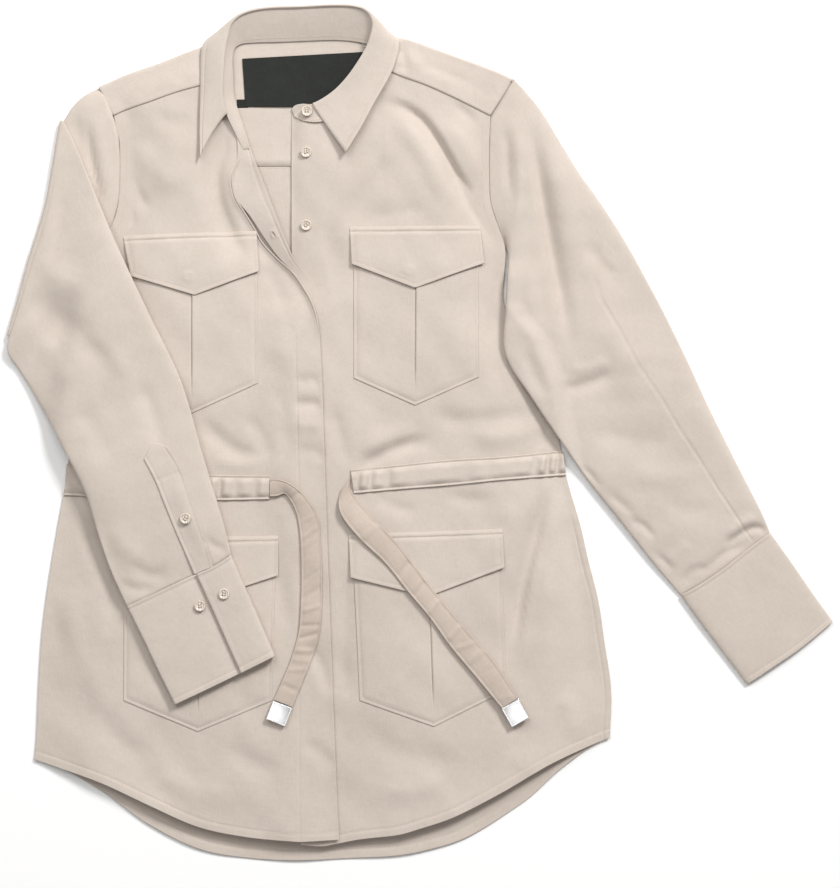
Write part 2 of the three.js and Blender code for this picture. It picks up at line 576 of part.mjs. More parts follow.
const FOREARM_ON_BODY = CHEST_HEIGHT + LAYERS_UNDER_FOREARM * LAYER;
// The forearm rises on to the body from a little outside the side, and drops to the surface beyond the
// upper arm
const RISE = { outside: 45, width: 40 };
const DROP = { margin: 8, length: 40, width: 25 };
const UNDERARM = { d: 231, left: 109, slope: 1.02 };
function forearmRest(x, d) {
  const edge = side(d, 'left');
  const rise = ease((x - edge + RISE.outside) / RISE.width);
  const below = d - UNDERARM.d - (UNDERARM.left - x) * UNDERARM.slope;
  const drop = ease((below - DROP.margin) / DROP.length) * ease((edge - DROP.margin - x) / DROP.width);
  return FOREARM_ON_ARM + (FOREARM_ON_BODY - FOREARM_ON_ARM) * rise - (FOREARM_ON_ARM - ON_TABLE) * drop;
}
sew('sleeve_right', (() => {
  const onTable = (x, d, up, radius) => at(x, d, ON_TABLE + radius - up);
  const axisHeight = ON_TABLE + FOLD_GAP + FOLD_INNER;
  const axisLine = smooth(FOLD_AXIS);
  const [from, to] = [at(...axisLine(0), 0), at(...axisLine(1), 0)];
  const along = to.clone().sub(from).normalize();
  const outward = new THREE.Vector3(along.y, -along.x, 0);
  const fold = FOLD_TURNS.map((turn) => loop(FOLD_AXIS, FOLD_GAP, (x, d, up, radius) => {
    const reach = FOLD_INNER + radius + up;
    return at(x, d, axisHeight - reach * Math.cos(turn)).addScaledVector(outward, reach * Math.sin(turn));
  }));
  const overFront = (x, d, up, radius) => at(x, d, forearmRest(x, d) + radius + up);
  return wall([
    ...UPPER_ARM.map(({ across, gap }) => loop(across, gap, onTable)),
    ...fold,
    ...FOREARM.map(({ across, gap }) => loop(across, gap, overFront)),
  ], { closed: true });
})(), COTTON);

// Cuff of the folded sleeve: a band wound once round, its ends lapped on top. Each row of its path is a share
// of the line across, a distance along that line from there, and a height above the layer below.
const CUFF_RIGHT = [
  [[232.4, 556.4], [215.6, 567.4], [197, 575.4], [175.6, 585.4], [150.6, 597.4], [129.2, 607.4]],
  [[246, 588], [213, 607], [180, 624], [145, 639]],
  [[260, 620], [227, 638], [195, 655], [160, 671]],
  [[275, 655], [243, 671], [210, 687], [176, 703]],
];
const CUFF_PATH = [
  [0.16, 0, 2.2], [0.34, 0, 2.2], [0.5, 0, 3], [0.7, 0, 3.2], [0.88, 0, 3.1], [1, -1.6, 3.1],
  [1, -0.45, 2.65], [1, 0, 1.55], [1, -0.45, 0.45], [1, -1.6, 0], [0.8, 0, 0], [0.6, 0, 0],
  [0.4, 0, 0], [0.2, 0, 0], [0, 2, 0], [0, 0.6, 0.6],
  [0, 0, 2], [0, 0.6, 3.4], [0, 2, 4], [0.12, 0, 4], [0.24, 0, 3.9], [0.34, 0, 3.9],
];
sew('cuff_right', wall(CUFF_RIGHT.map((across) => {
  const line = smooth(across);
  const [start, end] = [line(0), line(1)];
  const length = Math.hypot(end[0] - start[0], end[1] - start[1]);
  return CUFF_PATH.map(([share, offset, up]) => {
    const [x, d] = line(share + offset / length);
    return at(x, d, forearmRest(x, d) + up);
  }).reverse();
})), COTTON);

// Placket of that sleeve, a pointed strip on top of it as far as the cuff
const FOREARM_GAP = 4.6;
const FOREARM_TOP = FOREARM_ON_BODY + FOREARM_GAP;
sew('sleeve_placket', panel({
  top: smooth([[146, 459], [153, 446.5], [159, 443.5], [170, 448]]),
  bottom: cornered([[195.6, 573.4], [213.6, 566]]),
  left: smooth([[146, 459], [157, 480], [165, 500], [177, 530], [190, 560], [195.6, 573.4]]),
  right: smooth([[170, 448], [182, 468], [190, 490], [197, 512], [204, 532], [213.6, 566]]),
  rows: 8,
  columns: 3,
}, () => FOREARM_TOP + LAYER), COTTON);

// Buttons: low discs with a rounded rim and a dished face, each just clear of the cloth that it is sewn to
const ABOVE_CLOTH = CLOTH / 2 + SEAM;
const CUFF_LAP = 3.9;   // heights of the cuff's upper and under end, above what the cuff lies on
const CUFF_UNDER = 3.2;
const BUTTONS = {
  button_stand: [307, 110.5, 9.2],
  button_upper: [306, 152, CHEST_HEIGHT + ABOVE_CLOTH],
  button_lower: [306, 225, CHEST_HEIGHT + ABOVE_CLOTH],
  button_sleeve: [187, 518, FOREARM_TOP + LAYER + ABOVE_CLOTH],
  button_cuff: [225, 593, FOREARM_ON_BODY + CUFF_LAP + ABOVE_CLOTH],
  button_under_cuff: [201, 605, FOREARM_ON_BODY + CUFF_UNDER + ABOVE_CLOTH],
};
const BUTTON_PROFILE = [[0, 0], [0.8, 0], [1, 0.35], [1, 0.75], [0.88, 1], [0.68, 0.8], [0, 0.8]];
Object.entries(BUTTONS).forEach(([name, [x, d, z]]) => {
  const profile = BUTTON_PROFILE.map(([r, h]) => new THREE.Vector2(r * BUTTON_RADIUS, h * BUTTON_THICKNESS));
  const geometry = new THREE.LatheGeometry(profile, 16);
  geometry.rotateX(Math.PI / 2);
  geometry.translate(x, -d, z);
  sew(name, geometry, PEARL);
});

// The origin is the middle of the garment's outline, on the surface that it lies on
const box = new THREE.Box3().setFromObject(garment);
const middle = box.getCenter(new THREE.Vector3());
garment.position.set(-middle.x, -middle.y, 0);

export default garment;
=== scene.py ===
import math
import bpy
import numpy as np
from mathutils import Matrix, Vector


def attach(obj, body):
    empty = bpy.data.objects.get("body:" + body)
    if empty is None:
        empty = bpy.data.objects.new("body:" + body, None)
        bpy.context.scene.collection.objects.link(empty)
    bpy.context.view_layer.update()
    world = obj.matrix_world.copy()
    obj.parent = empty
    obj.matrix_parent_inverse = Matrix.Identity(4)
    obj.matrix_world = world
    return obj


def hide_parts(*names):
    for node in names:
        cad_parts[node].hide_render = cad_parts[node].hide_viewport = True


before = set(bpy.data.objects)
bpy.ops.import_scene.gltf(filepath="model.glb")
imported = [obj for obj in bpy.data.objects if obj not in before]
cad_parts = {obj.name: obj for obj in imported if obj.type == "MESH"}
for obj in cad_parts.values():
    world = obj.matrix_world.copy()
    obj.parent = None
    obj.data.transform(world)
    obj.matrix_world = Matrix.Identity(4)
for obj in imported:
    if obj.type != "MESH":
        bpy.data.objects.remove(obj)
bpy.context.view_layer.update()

# The view: the laid-out shacket is seen from straight above, a millimetre of cloth to each pixel of an
# 840 by 888 picture, lying on a plain white table.
VIEW_SPAN = 0.888
CAMERA_HEIGHT = 2.6
CLOTH_LEVEL = 0.008
VIEW_CENTRE = (0.0003, -0.0118)
SENSOR = 36.0
lens = SENSOR * (CAMERA_HEIGHT - CLOTH_LEVEL) / VIEW_SPAN
camera_data = bpy.data.cameras.new("camera")
camera_data.sensor_width = SENSOR
camera_data.lens = lens
camera = bpy.data.objects.new("camera", camera_data)
camera.location = (*VIEW_CENTRE, CAMERA_HEIGHT)
bpy.context.collection.objects.link(camera)
bpy.context.scene.camera = camera
bpy.context.scene.view_settings.view_transform = "Standard"


def softbox(name, place, target, size, watts):
    """A square lamp with a soft front, turned towards a point."""
    lamp = bpy.data.lights.new(name, "AREA")
    lamp.shape = "SQUARE"
    lamp.size = size
    lamp.energy = watts
    holder = bpy.data.objects.new(name, lamp)
    holder.location = place
    holder.rotation_euler = (Vector(target) - Vector(place)).to_track_quat("-Z", "Y").to_euler()
    bpy.context.collection.objects.link(holder)


softbox("key_light", (2.9, 4.2, 4.0), (0.0, 0.0, 0.0), 1.5, 360)
softbox("top_light", (-0.7, 1.5, 2.0), (-0.1, 0.2, 0.0), 1.8, 34)
softbox("white_card", (0.0, -0.6, 2.7), (0.0, -0.6, 0.0), 1.0, 4)
sky = bpy.data.worlds.new("studio")
bpy.context.scene.world = sky
sky.use_nodes = True
sky.node_tree.nodes["Background"].inputs["Color"].default_value = (1.0, 0.99, 0.98, 1.0)
sky.node_tree.nodes["Background"].inputs["Strength"].default_value = 0.31

table_paint = bpy.data.materials.new("table_paint")
table_paint.use_nodes = True
table_paint.node_tree.nodes["Principled BSDF"].inputs["Base Color"].default_value = (0.93, 0.93, 0.925, 1.0)
table_paint.node_tree.nodes["Principled BSDF"].inputs["Roughness"].default_value = 0.9
bpy.ops.object.select_all(action="DESELECT")
bpy.ops.mesh.primitive_plane_add(size=9.0, location=(0.0, 0.0, -0.0002))
table = bpy.context.object
table.name = "table"
table.data.materials.append(table_paint)

# Back: one wide panel of heavy cotton from the yoke seam to a long curved hem. It lies flat on the table and
# the fronts lie on it. Its hem is turned up and stitched, and shows below theirs.
# Places on the garment are x, in millimetres to the right of its left end, and d, down from the collar's top.
ORIGIN_X, ORIGIN_D = 419.689, 432.187
MM = 0.001
CLOTH = 1.2
LAYER = 1.5
ON_TABLE = 0.6
YOKE_SEAM = 165.3
BACK_TOP = 163.8  # the back reaches a little under the yoke
EDGE_STEPS = (0.25, 0.8, 1.7, 2.9, 4.2, 5.6)  # finer steps of the weave beside an edge
HEM_WIDE = 9.0
SIDES = np.array([  # depth, left side, right side
    (60, 99, 512), (87, 99.5, 505), (100, 106, 498.5), (116, 113, 490.5), (140, 119, 489), (180, 119, 489),
    (200, 118, 490), (215, 115, 494), (231, 109, 500), (248, 106, 505), (270, 102.5, 504.6),
    (303, 96.5, 503.6), (318, 93.5, 512), (340, 89.5, 530), (380, 82, 546), (440, 70.5, 559),
    (480, 65.5, 567), (525, 57.5, 580), (560, 51.5, 588), (600, 45.5, 598), (640, 41, 604), (690, 38, 611),
    (738, 36, 610), (760, 34, 610)], float)
BACK_HEM = [(34, 760), (62, 770), (100, 791), (150, 826), (200, 850), (250, 859), (300, 861), (350, 859),
            (400, 856), (430, 850), (460, 841), (485, 828), (510, 812), (530, 798), (560, 770), (590, 748),
            (610, 738)]


def ease(t):
    """Eases from 0 to 1 as t goes from 0 to 1."""
    t = np.clip(t, 0.0, 1.0)
    return t * t * (3.0 - 2.0 * t)


def mix(a, b, t):
    return a + (b - a) * t


def side(d, which):
    return np.interp(d, SIDES[:, 0], SIDES[:, which])


def side_points(which, start, end):
    between = [(row[which], row[0]) for row in SIDES if start + 2 < row[0] < end - 2]
    return [(side(start, which), start), *between, (side(end, which), end)]


def spline(points, fine=16):
    """Fine points on a centripetal curve through the points given, in any number of axes."""
    p = np.array(points, float)
    p = np.vstack([2 * p[0] - p[1], p, 2 * p[-1] - p[-2]])
    gaps = np.maximum(np.linalg.norm(np.diff(p, axis=0), axis=1), 1e-6) ** 0.5
    t = np.linspace(0, 1, fine, endpoint=False)[:, None]
    line = []
    for k in range(1, len(p) - 2):
        a, b, c, e = p[k - 1:k + 3]
        g0, g1, g2 = gaps[k - 1:k + 2]
        leave = ((b - a) / g0 - (c - a) / (g0 + g1) + (c - b) / g1) * g1
        reach = ((c - b) / g1 - (e - b) / (g1 + g2) + (e - c) / g2) * g1
        line.append((2 * t**3 - 3 * t**2 + 1) * b + (t**3 - 2 * t**2 + t) * leave
                    + (3 * t**2 - 2 * t**3) * c + (t**3 - t**2) * reach)
    return np.vstack([*line, p[-2:-1]])


class Edge:
    """A line that is read at shares of its length."""

    def __init__(self, line):
        self.line = np.array(line, float)
        self.run = np.concatenate([[0], np.cumsum(np.linalg.norm(np.diff(self.line, axis=0), axis=1))])
        self.length = self.run[-1]

    def __call__(self, shares):
        reach = np.asarray(shares) * self.length
        return np.stack([np.interp(reach, self.run, axis) for axis in self.line.T], -1)


class Cornered(Edge):
    """A line with corners, each straight stretch of which takes an equal share."""

    def __init__(self, points):
        super().__init__(points)
        self.run = np.linspace(0, self.length, len(points))


def smooth(points):
    return Edge(spline(points))


def steps(length, pitch, start=EDGE_STEPS, end=EDGE_STEPS, count=0):
    """Shares of a length, at exact distances from its two ends and at an even pitch or number between."""
    first = [0.0, *start]
    last = [length - gap for gap in reversed((0.0, *end))]
    count = count or max(int(round((last[0] - first[-1]) / pitch)), 1)
    return np.array([*first, *np.linspace(first[-1], last[0], count + 1)[1:-1], *last]) / length


def fill(top, bottom, left, right, across, down):
    """Rows of places that fill the space between four edges."""
    u, v = across[None, :, None], down[:, None, None]
    t, b = top(across)[None], bottom(across)[None]
    l, r = left(down)[:, None], right(down)[:, None]
    corners = ((1 - u) * (1 - v) * t[:, :1] + u * (1 - v) * t[:, -1:]
               + (1 - u) * v * b[:, :1] + u * v * b[:, -1:])
    return (1 - u) * l + u * r + (1 - v) * t + v * b - corners


def distance(x, d, line):
    """How far places are from a line of points, which side of it they are on, and where along it."""
    line = np.array(line, float)
    run = np.concatenate([[0], np.cumsum(np.linalg.norm(np.diff(line, axis=0), axis=1))])
    near = np.full(x.shape, 1e9)
    which = np.ones(x.shape)
    along = np.zeros(x.shape)
    for (ax, ad), (bx, bd), start, end in zip(line[:-1], line[1:], run[:-1], run[1:]):
        ex, ed = bx - ax, bd - ad
        share = np.clip(((x - ax) * ex + (d - ad) * ed) / max(ex * ex + ed * ed, 1e-9), 0, 1)
        gap = np.hypot(x - ax - share * ex, d - ad - share * ed)
        closer = gap < near
        near = np.where(closer, gap, near)
        which = np.where(closer, np.where(ex * (d - ad) - ed * (x - ax) > 0, 1.0, -1.0), which)
        along = np.where(closer, (start + share * (end - start)) / run[-1], along)
    return near, which, along


def fold_field(folds, x, d):
    """Height that a list of folds adds. A fold is its line, its height, and its width on each side."""
    total = np.zeros(x.shape)
    for line, height, left_wide, right_wide in folds:
        points = np.array(line, float)
        reach = 3 * max(left_wide, right_wide)
        (x0, d0), (x1, d1) = points.min(0) - reach, points.max(0) + reach
        near = (x > x0) & (x < x1) & (d > d0) & (d < d1)
        if not near.any():
            continue
        gap, which, along = distance(x[near], d[near], spline(points, 5))
        wide = np.where(which > 0, right_wide, left_wide)
        taper = ease(along / 0.3) * ease((1 - along) / 0.3)
        total[near] += height * taper * np.exp(-(gap / wide) ** 2)
    return total


def drift(x, d, seed, size):
    """Slow unevenness of cloth that nobody has ironed flat."""
    rng = np.random.default_rng(seed)
    total = np.zeros(x.shape)
    for length in (190, 130, 90, 62, 43, 30):
        turn, phase = rng.uniform(0, math.tau, 2)
        total += length / 190 * np.sin(math.tau * (x * math.cos(turn) + d * math.sin(turn)) / length + phase)
    return size * total


def hem(gap, wide=HEM_WIDE, rise=0.16, groove=0.35):
    """A turned edge: thicker as far as its stitch line, which is drawn in."""
    return rise * (1 - ease((gap - wide + 0.4) / 0.8)) - groove * np.exp(-((gap - wide) / 0.8) ** 2)


def shell(name, rows, thickness=CLOTH, closed=False, material=None):
    """A sheet of cloth with rounded edges around rows of points on its middle, each x, d and height in
    millimetres. Rows that close on themselves make a tube."""
    n, m = rows.shape[:2]
    p = np.stack([rows[..., 0] - ORIGIN_X, ORIGIN_D - rows[..., 1], rows[..., 2]], -1)
    along = np.gradient(p, axis=0)
    across = np.roll(p, -1, 1) - np.roll(p, 1, 1) if closed else np.gradient(p, axis=1)
    normal = np.cross(along, across)
    normal /= np.maximum(np.linalg.norm(normal, axis=2, keepdims=True), 1e-9)
    outer, inner = p + normal * thickness / 2, p - normal * thickness / 2
    index = np.arange(n * m).reshape(n, m)
    nxt = np.roll(index, -1, 1) if closed else index[:, 1:]
    here = index if closed else index[:, :-1]
    quads = np.stack([here[:-1], here[1:], nxt[1:], nxt[:-1]], -1).reshape(-1, 4)
    if closed:
        loops = [index[-1], index[0][::-1]]
        inside = [index[-2], index[1][::-1]]
    else:
        loops = [np.concatenate([index[:-1, 0], index[-1, :-1], index[1:, -1][::-1], index[0, 1:][::-1]])]
        inside = [np.concatenate([index[:-1, 1], index[-2, :-1], index[1:, -2][::-1], index[1, 1:][::-1]])]
    flat = p.reshape(-1, 3)
    points = [outer.reshape(-1, 3), inner.reshape(-1, 3)]
    faces = [quads, quads[:, ::-1] + n * m]
    start = 2 * n * m
    sources = [np.arange(n * m), np.arange(n * m)]
    for ring, neighbour in zip(loops, inside):
        away = flat[ring] - flat[neighbour]
        away /= np.maximum(np.linalg.norm(away, axis=1, keepdims=True), 1e-9)
        points.append(flat[ring] + away * thickness * 0.35)
        sources.append(ring)
        mids = start + np.arange(len(ring))
        ahead, mids_ahead = np.roll(ring, -1), np.roll(mids, -1)
        faces.append(np.stack([ahead, ring, mids, mids_ahead], -1))
        faces.append(np.stack([mids_ahead, mids, ring + n * m, ahead + n * m], -1))
        start += len(ring)
    mesh = bpy.data.meshes.new(name)
    faces = np.vstack(faces)
    mesh.from_pydata(np.vstack(points) * MM, [], faces)
    width = np.concatenate([[0], np.cumsum(np.linalg.norm(np.diff(p, axis=1), axis=2).mean(0))])
    height = np.concatenate([[0], np.cumsum(np.linalg.norm(np.diff(p, axis=0), axis=2).mean(1))])
    source = np.concatenate(sources)[faces.ravel()]
    u, v = width[source % m], height[source // m]
    if closed:
        u = u.reshape(-1, 4)
        u = np.where((u.max(1, keepdims=True) - u > width[-1] / 2), u + width[-1], u).ravel()
    uv = mesh.uv_layers.new(name="threads")
    uv.data.foreach_set("uv", (np.stack([u, v], -1) * MM).ravel().astype(np.float32))
    mesh.polygons.foreach_set("use_smooth", np.ones(len(mesh.polygons), bool))
    mesh.update()
    piece = bpy.data.objects.new(name, mesh)
    bpy.context.collection.objects.link(piece)
    mesh.materials.append(material or cotton)
    return piece


def panel(name, places, height, **kind):
    """A piece of cloth over places, at heights that a function gives for them."""
    return shell(name, np.dstack([places, height(places[..., 0], places[..., 1])]), **kind)


def sewn(piece, node, rests_on=()):
    """Hangs a piece on the body's root in place of its node's imported part, which it hides."""
    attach(piece, "root")
    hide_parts(node)


class Shade:
    """A value in a material. Sums with it add Math nodes, and node() adds any other node."""

    def __init__(self, tree, socket=None):
        self.tree, self.socket = tree, socket

    def node(self, kind, settings=None, out=0, **sockets):
        made = self.tree.nodes.new(kind)
        for key, value in (settings or {}).items():
            if key == "stops":
                ramp = made.color_ramp
                while len(ramp.elements) < len(value):
                    ramp.elements.new(0.5)
                for element, (place, colour) in zip(ramp.elements, value):
                    element.position, element.color = place, colour
            else:
                setattr(made, key, value)
        for key, value in sockets.items():
            number = key[1:]
            target = made.inputs[int(number) if number.isdigit() else key.replace("_", " ")]
            if isinstance(value, Shade):
                self.tree.links.new(value.socket, target)
            else:
                target.default_value = value
        return Shade(self.tree, made.outputs[out] if len(made.outputs) else None)

    def maths(self, operation, *values):
        inputs = {f"_{k}": value for k, value in enumerate(values)}
        return self.node("ShaderNodeMath", {"operation": operation}, **inputs)

    def ramp(self, low, dark, high, light):
        """A colour that goes from dark to light while this value goes from low to high."""
        stops = ((low, (*dark, 1)), (high, (*light, 1)))
        return self.node("ShaderNodeValToRGB", {"stops": stops}, Fac=self)

    def __add__(self, other):
        return self.maths("ADD", self, other)

    def __sub__(self, other):
        return self.maths("SUBTRACT", self, other)

    def __rsub__(self, other):
        return self.maths("SUBTRACT", other, self)

    def __mul__(self, other):
        return self.maths("MULTIPLY", self, other)

    __radd__, __rmul__ = __add__, __mul__


def new_material(name):
    material = bpy.data.materials.new(name)
    material.use_nodes = True
    nodes = material.node_tree.nodes
    nodes.clear()
    return material, Shade(material.node_tree)


def finish_material(shade, **sockets):
    surface = shade.node("ShaderNodeBsdfPrincipled", **sockets)
    shade.node("ShaderNodeOutputMaterial", Surface=surface)


def woven(name, light, dark, pitch, relief, roughness, sheen):
    """Plain-woven cloth: threads over and under each other at a pitch in metres, slubs and faint clouds."""
    material, shade = new_material(name)
    place = shade.node("ShaderNodeUVMap", {"uv_map": "threads"})
    axes = [shade.node("ShaderNodeSeparateXYZ", out=k, Vector=place) for k in range(2)]
    warp, weft = [(axis * (math.pi / pitch)) for axis in axes]
    over = shade.maths("SINE", warp) * shade.maths("SINE", weft)
    slubs = []
    for stretch in ((0.12, 1.0, 1.0), (1.0, 0.12, 1.0)):
        along = shade.node("ShaderNodeVectorMath", {"operation": "MULTIPLY"}, _0=place, _1=stretch)
        slubs.append(shade.node("ShaderNodeTexNoise", {"noise_dimensions": "2D"}, Vector=along, Scale=900.0,
                                Detail=2.0, Roughness=0.6))
    slub = (slubs[0] + slubs[1]) * 0.5
    spot = shade.node("ShaderNodeTexCoord", out=3)
    cloud = shade.node("ShaderNodeTexNoise", Vector=spot, Scale=9.0, Detail=3.0, Roughness=0.55)
    fine = shade.node("ShaderNodeTexNoise", Vector=spot, Scale=60.0, Detail=3.0, Roughness=0.6)
    tone = slub * 0.45 + cloud * 0.35 + fine * 0.2 + over * 0.05
    colour = tone.ramp(0.36, dark, 0.64, light)
    rough = roughness + (slub - 0.5) * 0.12
    threads = over * 0.5 + slub * 1.6
    crumple = fine * 6.0 + shade.node("ShaderNodeTexNoise", Vector=spot, Scale=140.0, Detail=2.0) * 2.0
    relief_all = threads + crumple
    bump = shade.node("ShaderNodeBump", Height=relief_all, Strength=0.6, Distance=relief)
    finish_material(shade, Base_Color=colour, Roughness=rough, Normal=bump, Sheen_Weight=sheen,
                    Sheen_Roughness=0.5, Specular_IOR_Level=0.25)
    return material


cotton = woven("cotton_cloth", light=(0.604, 0.530, 0.467), dark=(0.530, 0.459, 0.399), pitch=0.00055,
               relief=0.00012, roughness=0.82, sheen=0.1)

hem_line = smooth(BACK_HEM)
back_left = smooth([(119, BACK_TOP), *side_points(1, 180, 760)])
back_right = smooth([(489, BACK_TOP), *side_points(2, 180, 738)])
back_down = steps(640, 8, start=(0.5, 2.0),
                  end=(0.25, 0.8, 1.8, 3.2, 5, 7, 8.2, 9, 9.8, 11.5, 14, 17, 21, 26, 32))
back_across = steps(570, 4.5)
back_places = fill(Cornered([(119, BACK_TOP), (489, BACK_TOP)]), hem_line, back_left, back_right,
                   back_across, back_down)


def back_height(x, d):
    gap = distance(x, d, hem_line.line)[0]
    shown = ease((d - 735) / 25)
    lift = 0.5 + 0.5 * np.sin(x / 21.0 + 1.3 * np.sin(x / 47.0))
    return ON_TABLE + 0.1 + shown * (hem(gap) + 1.2 * lift * np.exp(-(gap / 9) ** 2))


back = panel("back_panel", back_places, back_height)
sewn(back, "back")

# Yoke: one piece of the same cotton from the back seam over both shoulders to the front seams, cut away round
# the neck. The shoulders roll over in a soft edge; inside the neck its wrong side shows, with the seam below.
# A strip is: place on the back seam, place on the shoulder, place on the front seam or on the neck seam.
YOKE = [
    (119.3, (98.5, 86), (113, 113.3)), (140, (110, 81), (126, 107.4)), (160, (128, 73), (150, 99.6)),
    (180, (160, 62), (176, 90.2)), (200, (190, 50), (200, 83.4)), (213, (210, 43.5), (218, 77.8)),
    (224, (221.5, 42), (230, 73.4)), (231, (227, 44), (230, 58)), (238, None, (233, 48)),
    (248, None, (242, 43.2)), (262, None, (256, 42.2)), (280, None, (276, 42)), (302, None, (302, 41)),
    (326, None, (330, 40)), (345, None, (351, 41)), (358, None, (362, 44.5)), (371, (382, 41.5), (384, 54)),
    (384, (392, 38), (386.4, 66)), (396, (404, 37.5), (401, 74)), (412, (421, 43), (425, 82.6)),
    (434, (446, 52), (450, 93.6)), (457, (475, 62.5), (473, 104.6)), (475, (496, 70.5), (483, 109.6)),
    (488.7, (512.5, 78), (490.2, 113.2))]
SHOULDER_ROLL = 1.9
NECK_REACH = 7
YOKE_STEPS = 6  # finer strips between two strips of the table
YOKE_LEFT, YOKE_RIGHT = slice(0, 7), slice(18, None)  # the strips that end on a front seam
LAP = 1.6  # how far one piece reaches over its neighbour at a lapped seam
ARMPIT, ARMPIT_FADE = 245, 50  # depth of the armpits, and the length over which the sides sink below them
SIDE_HIGH, SIDE_LOW = 3.7, 2.1  # height of the fronts' middle at their sides, above and below the armpits
BODY_HIGH = 5.2  # height of the fronts' middle a little way in from the sides, before their loft
FLOOR = 2.0  # height below which no fold sinks
LOFT = 4.4  # how far the cloth of the fronts stands above lying quite flat
SHOULDER_LOFT = 0.1  # share of the loft at the shoulders
SHOULDERS_END, CHEST_START = 75, 175  # depths between which the loft grows to its whole
FOLD_DEPTH = 1.5  # all the folds of the fronts are this much deeper than their table says
FLY_RISE = 3.2  # how far the edge of the top front is lifted by the layers under it
FLY_SIDE, FLY_TOP, FLY_FADE = 255, 215, 45  # where that lift starts, from the side and from above
NECK_SINK, NECK_NEAR, NECK_FADE = 4.5, 20, 45  # depth of the hollow at the open neck, and its width
NECK_OPENING = [(258, 118), (262, 160), (275, 215), (292, 262)]
# Folds of both fronts and the yoke: line, height, width to the left of its run, width to the right of it
FRONT_FOLDS = [
    # the long drag from the collar's right leaf to the armhole, with a crest beside it
    ([(372, 99), (400, 105), (420, 117), (435, 135), (447, 155), (458, 175), (470, 195), (482, 213),
      (496, 234), (507, 250)], -5.2, 3.6, 9),
    ([(388, 118), (408, 134), (424, 156), (438, 184), (452, 210)], 1.6, 12, 9),
    ([(440, 118), (460, 138), (474, 165), (484, 195)], 1.6, 9, 9),
    ([(452, 102), (470, 116), (481, 128)], -1.2, 4, 5),
    ([(486, 160), (478, 188), (484, 214)], -1.2, 4, 5),
    # soft pulls between the right leaf and the placket
    ([(372, 142), (346, 172), (329, 212), (322, 268)], -1.5, 9, 12),
    ([(398, 152), (366, 190), (345, 226)], -1.1, 12, 9),
    ([(352, 160), (330, 186), (318, 240), (330, 300), (333, 350)], 0.9, 9, 12),
    ([(430, 208), (395, 214), (352, 222)], -0.9, 7, 9),
    # under the right chest pocket and above the waist
    ([(352, 470), (372, 460), (392, 450), (414, 443), (438, 441)], -2.4, 6, 7),
    ([(356, 455), (385, 440), (420, 428)], 1.2, 9, 7),
    ([(330, 402), (341, 440), (350, 472)], -1.6, 7, 9),
    ([(420, 412), (460, 420), (505, 417), (540, 408)], -1.3, 8, 10),
    ([(470, 440), (510, 436), (545, 424)], 1.1, 8, 9),
    ([(541, 451), (544, 436), (556, 418), (566, 408)], -2.6, 4, 5),
    ([(551, 450), (554, 438), (561, 425)], -1.8, 3, 4),
    ([(499, 285), (494, 325), (497, 372), (505, 398)], -1.4, 7, 7),
    ([(520, 372), (540, 402), (552, 430)], -1.2, 8, 8),
    # skirt of the right front
    ([(549, 484), (541, 518), (530, 560), (520, 610), (512, 664)], -4.4, 4, 11),
    ([(560, 486), (556, 530), (549, 580), (541, 632)], 1.8, 10, 9),
    ([(566, 500), (578, 556), (585, 604), (588, 660), (585, 705)], -1.6, 8, 9),
    ([(512, 500), (505, 528), (498, 560)], 1.0, 9, 9),
    ([(372, 492), (392, 506), (420, 512)], -1.2, 6, 7),
    ([(440, 492), (470, 500), (500, 496)], -0.9, 5, 7),
    ([(340, 556), (347, 606), (343, 660), (350, 706)], -1.3, 7, 8),
    ([(344, 700), (380, 742), (430, 760), (480, 752)], -1.0, 12, 14),
    ([(500, 700), (520, 730), (512, 762)], -1.2, 10, 10),
    ([(560, 690), (572, 715), (574, 742)], 1.0, 9, 8),
    ([(368, 790), (410, 790), (452, 780)], 0.9, 9, 11),
    # left chest: drags at the armhole and the hollow beside the opening
    ([(120, 172), (136, 193), (152, 214)], -1.2, 6, 6),
    ([(119, 192), (127, 208), (133, 228)], -1.4, 4, 5),
    ([(128, 142), (150, 160), (176, 196)], 0.7, 10, 11),
    ([(222, 112), (222, 138), (216, 172), (219, 205), (236, 244), (252, 266)], -5.0, 8, 14),
    ([(182, 128), (176, 160), (182, 198)], 1.2, 14, 14),
    ([(150, 112), (172, 122), (198, 120)], -1.0, 8, 8),
    ([(262, 262), (276, 285), (284, 312)], -1.4, 9, 9),
    ([(270, 300), (281, 330), (279, 368)], 0.9, 9, 9),
    # the fly below the opening
    ([(294, 383), (309, 380), (322, 384)], -1.0, 5, 5),
    ([(292, 406), (308, 403), (324, 406)], -1.9, 4, 6),
    ([(294, 428), (310, 424), (324, 430)], 1.0, 6, 6),
    ([(296, 455), (312, 450), (325, 462)], -0.9, 6, 6),
    ([(303, 640), (318, 660), (331, 700)], -1.3, 7, 6),
    ([(300, 742), (318, 750), (334, 770)], -1.0, 7, 8),
    # under the left chest pocket, and the skirt of the left front
    ([(204, 416), (217, 436), (240, 452), (262, 460)], -1.9, 7, 9),
    ([(240, 412), (262, 436), (272, 468)], -1.2, 7, 7),
    ([(212, 458), (236, 464), (266, 460)], 1.0, 5, 6),
    ([(268, 384), (284, 410), (286, 452)], -1.1, 8, 8),
    ([(290, 508), (276, 538), (281, 590), (290, 650)], -1.4, 8, 9),
    ([(84, 512), (104, 556), (112, 600), (110, 640)], -2.6, 12, 12),
    ([(60, 560), (72, 620), (84, 676), (112, 730)], 1.4, 12, 14),
    ([(70, 648), (92, 706), (128, 748), (168, 760)], -1.6, 12, 14),
    ([(220, 742), (256, 764), (286, 770)], -1.0, 10, 12),
    ([(150, 770), (190, 790), (236, 796)], 0.9, 10, 12),
    ([(66, 484), (84, 498), (104, 500)], -1.6, 5, 6)]
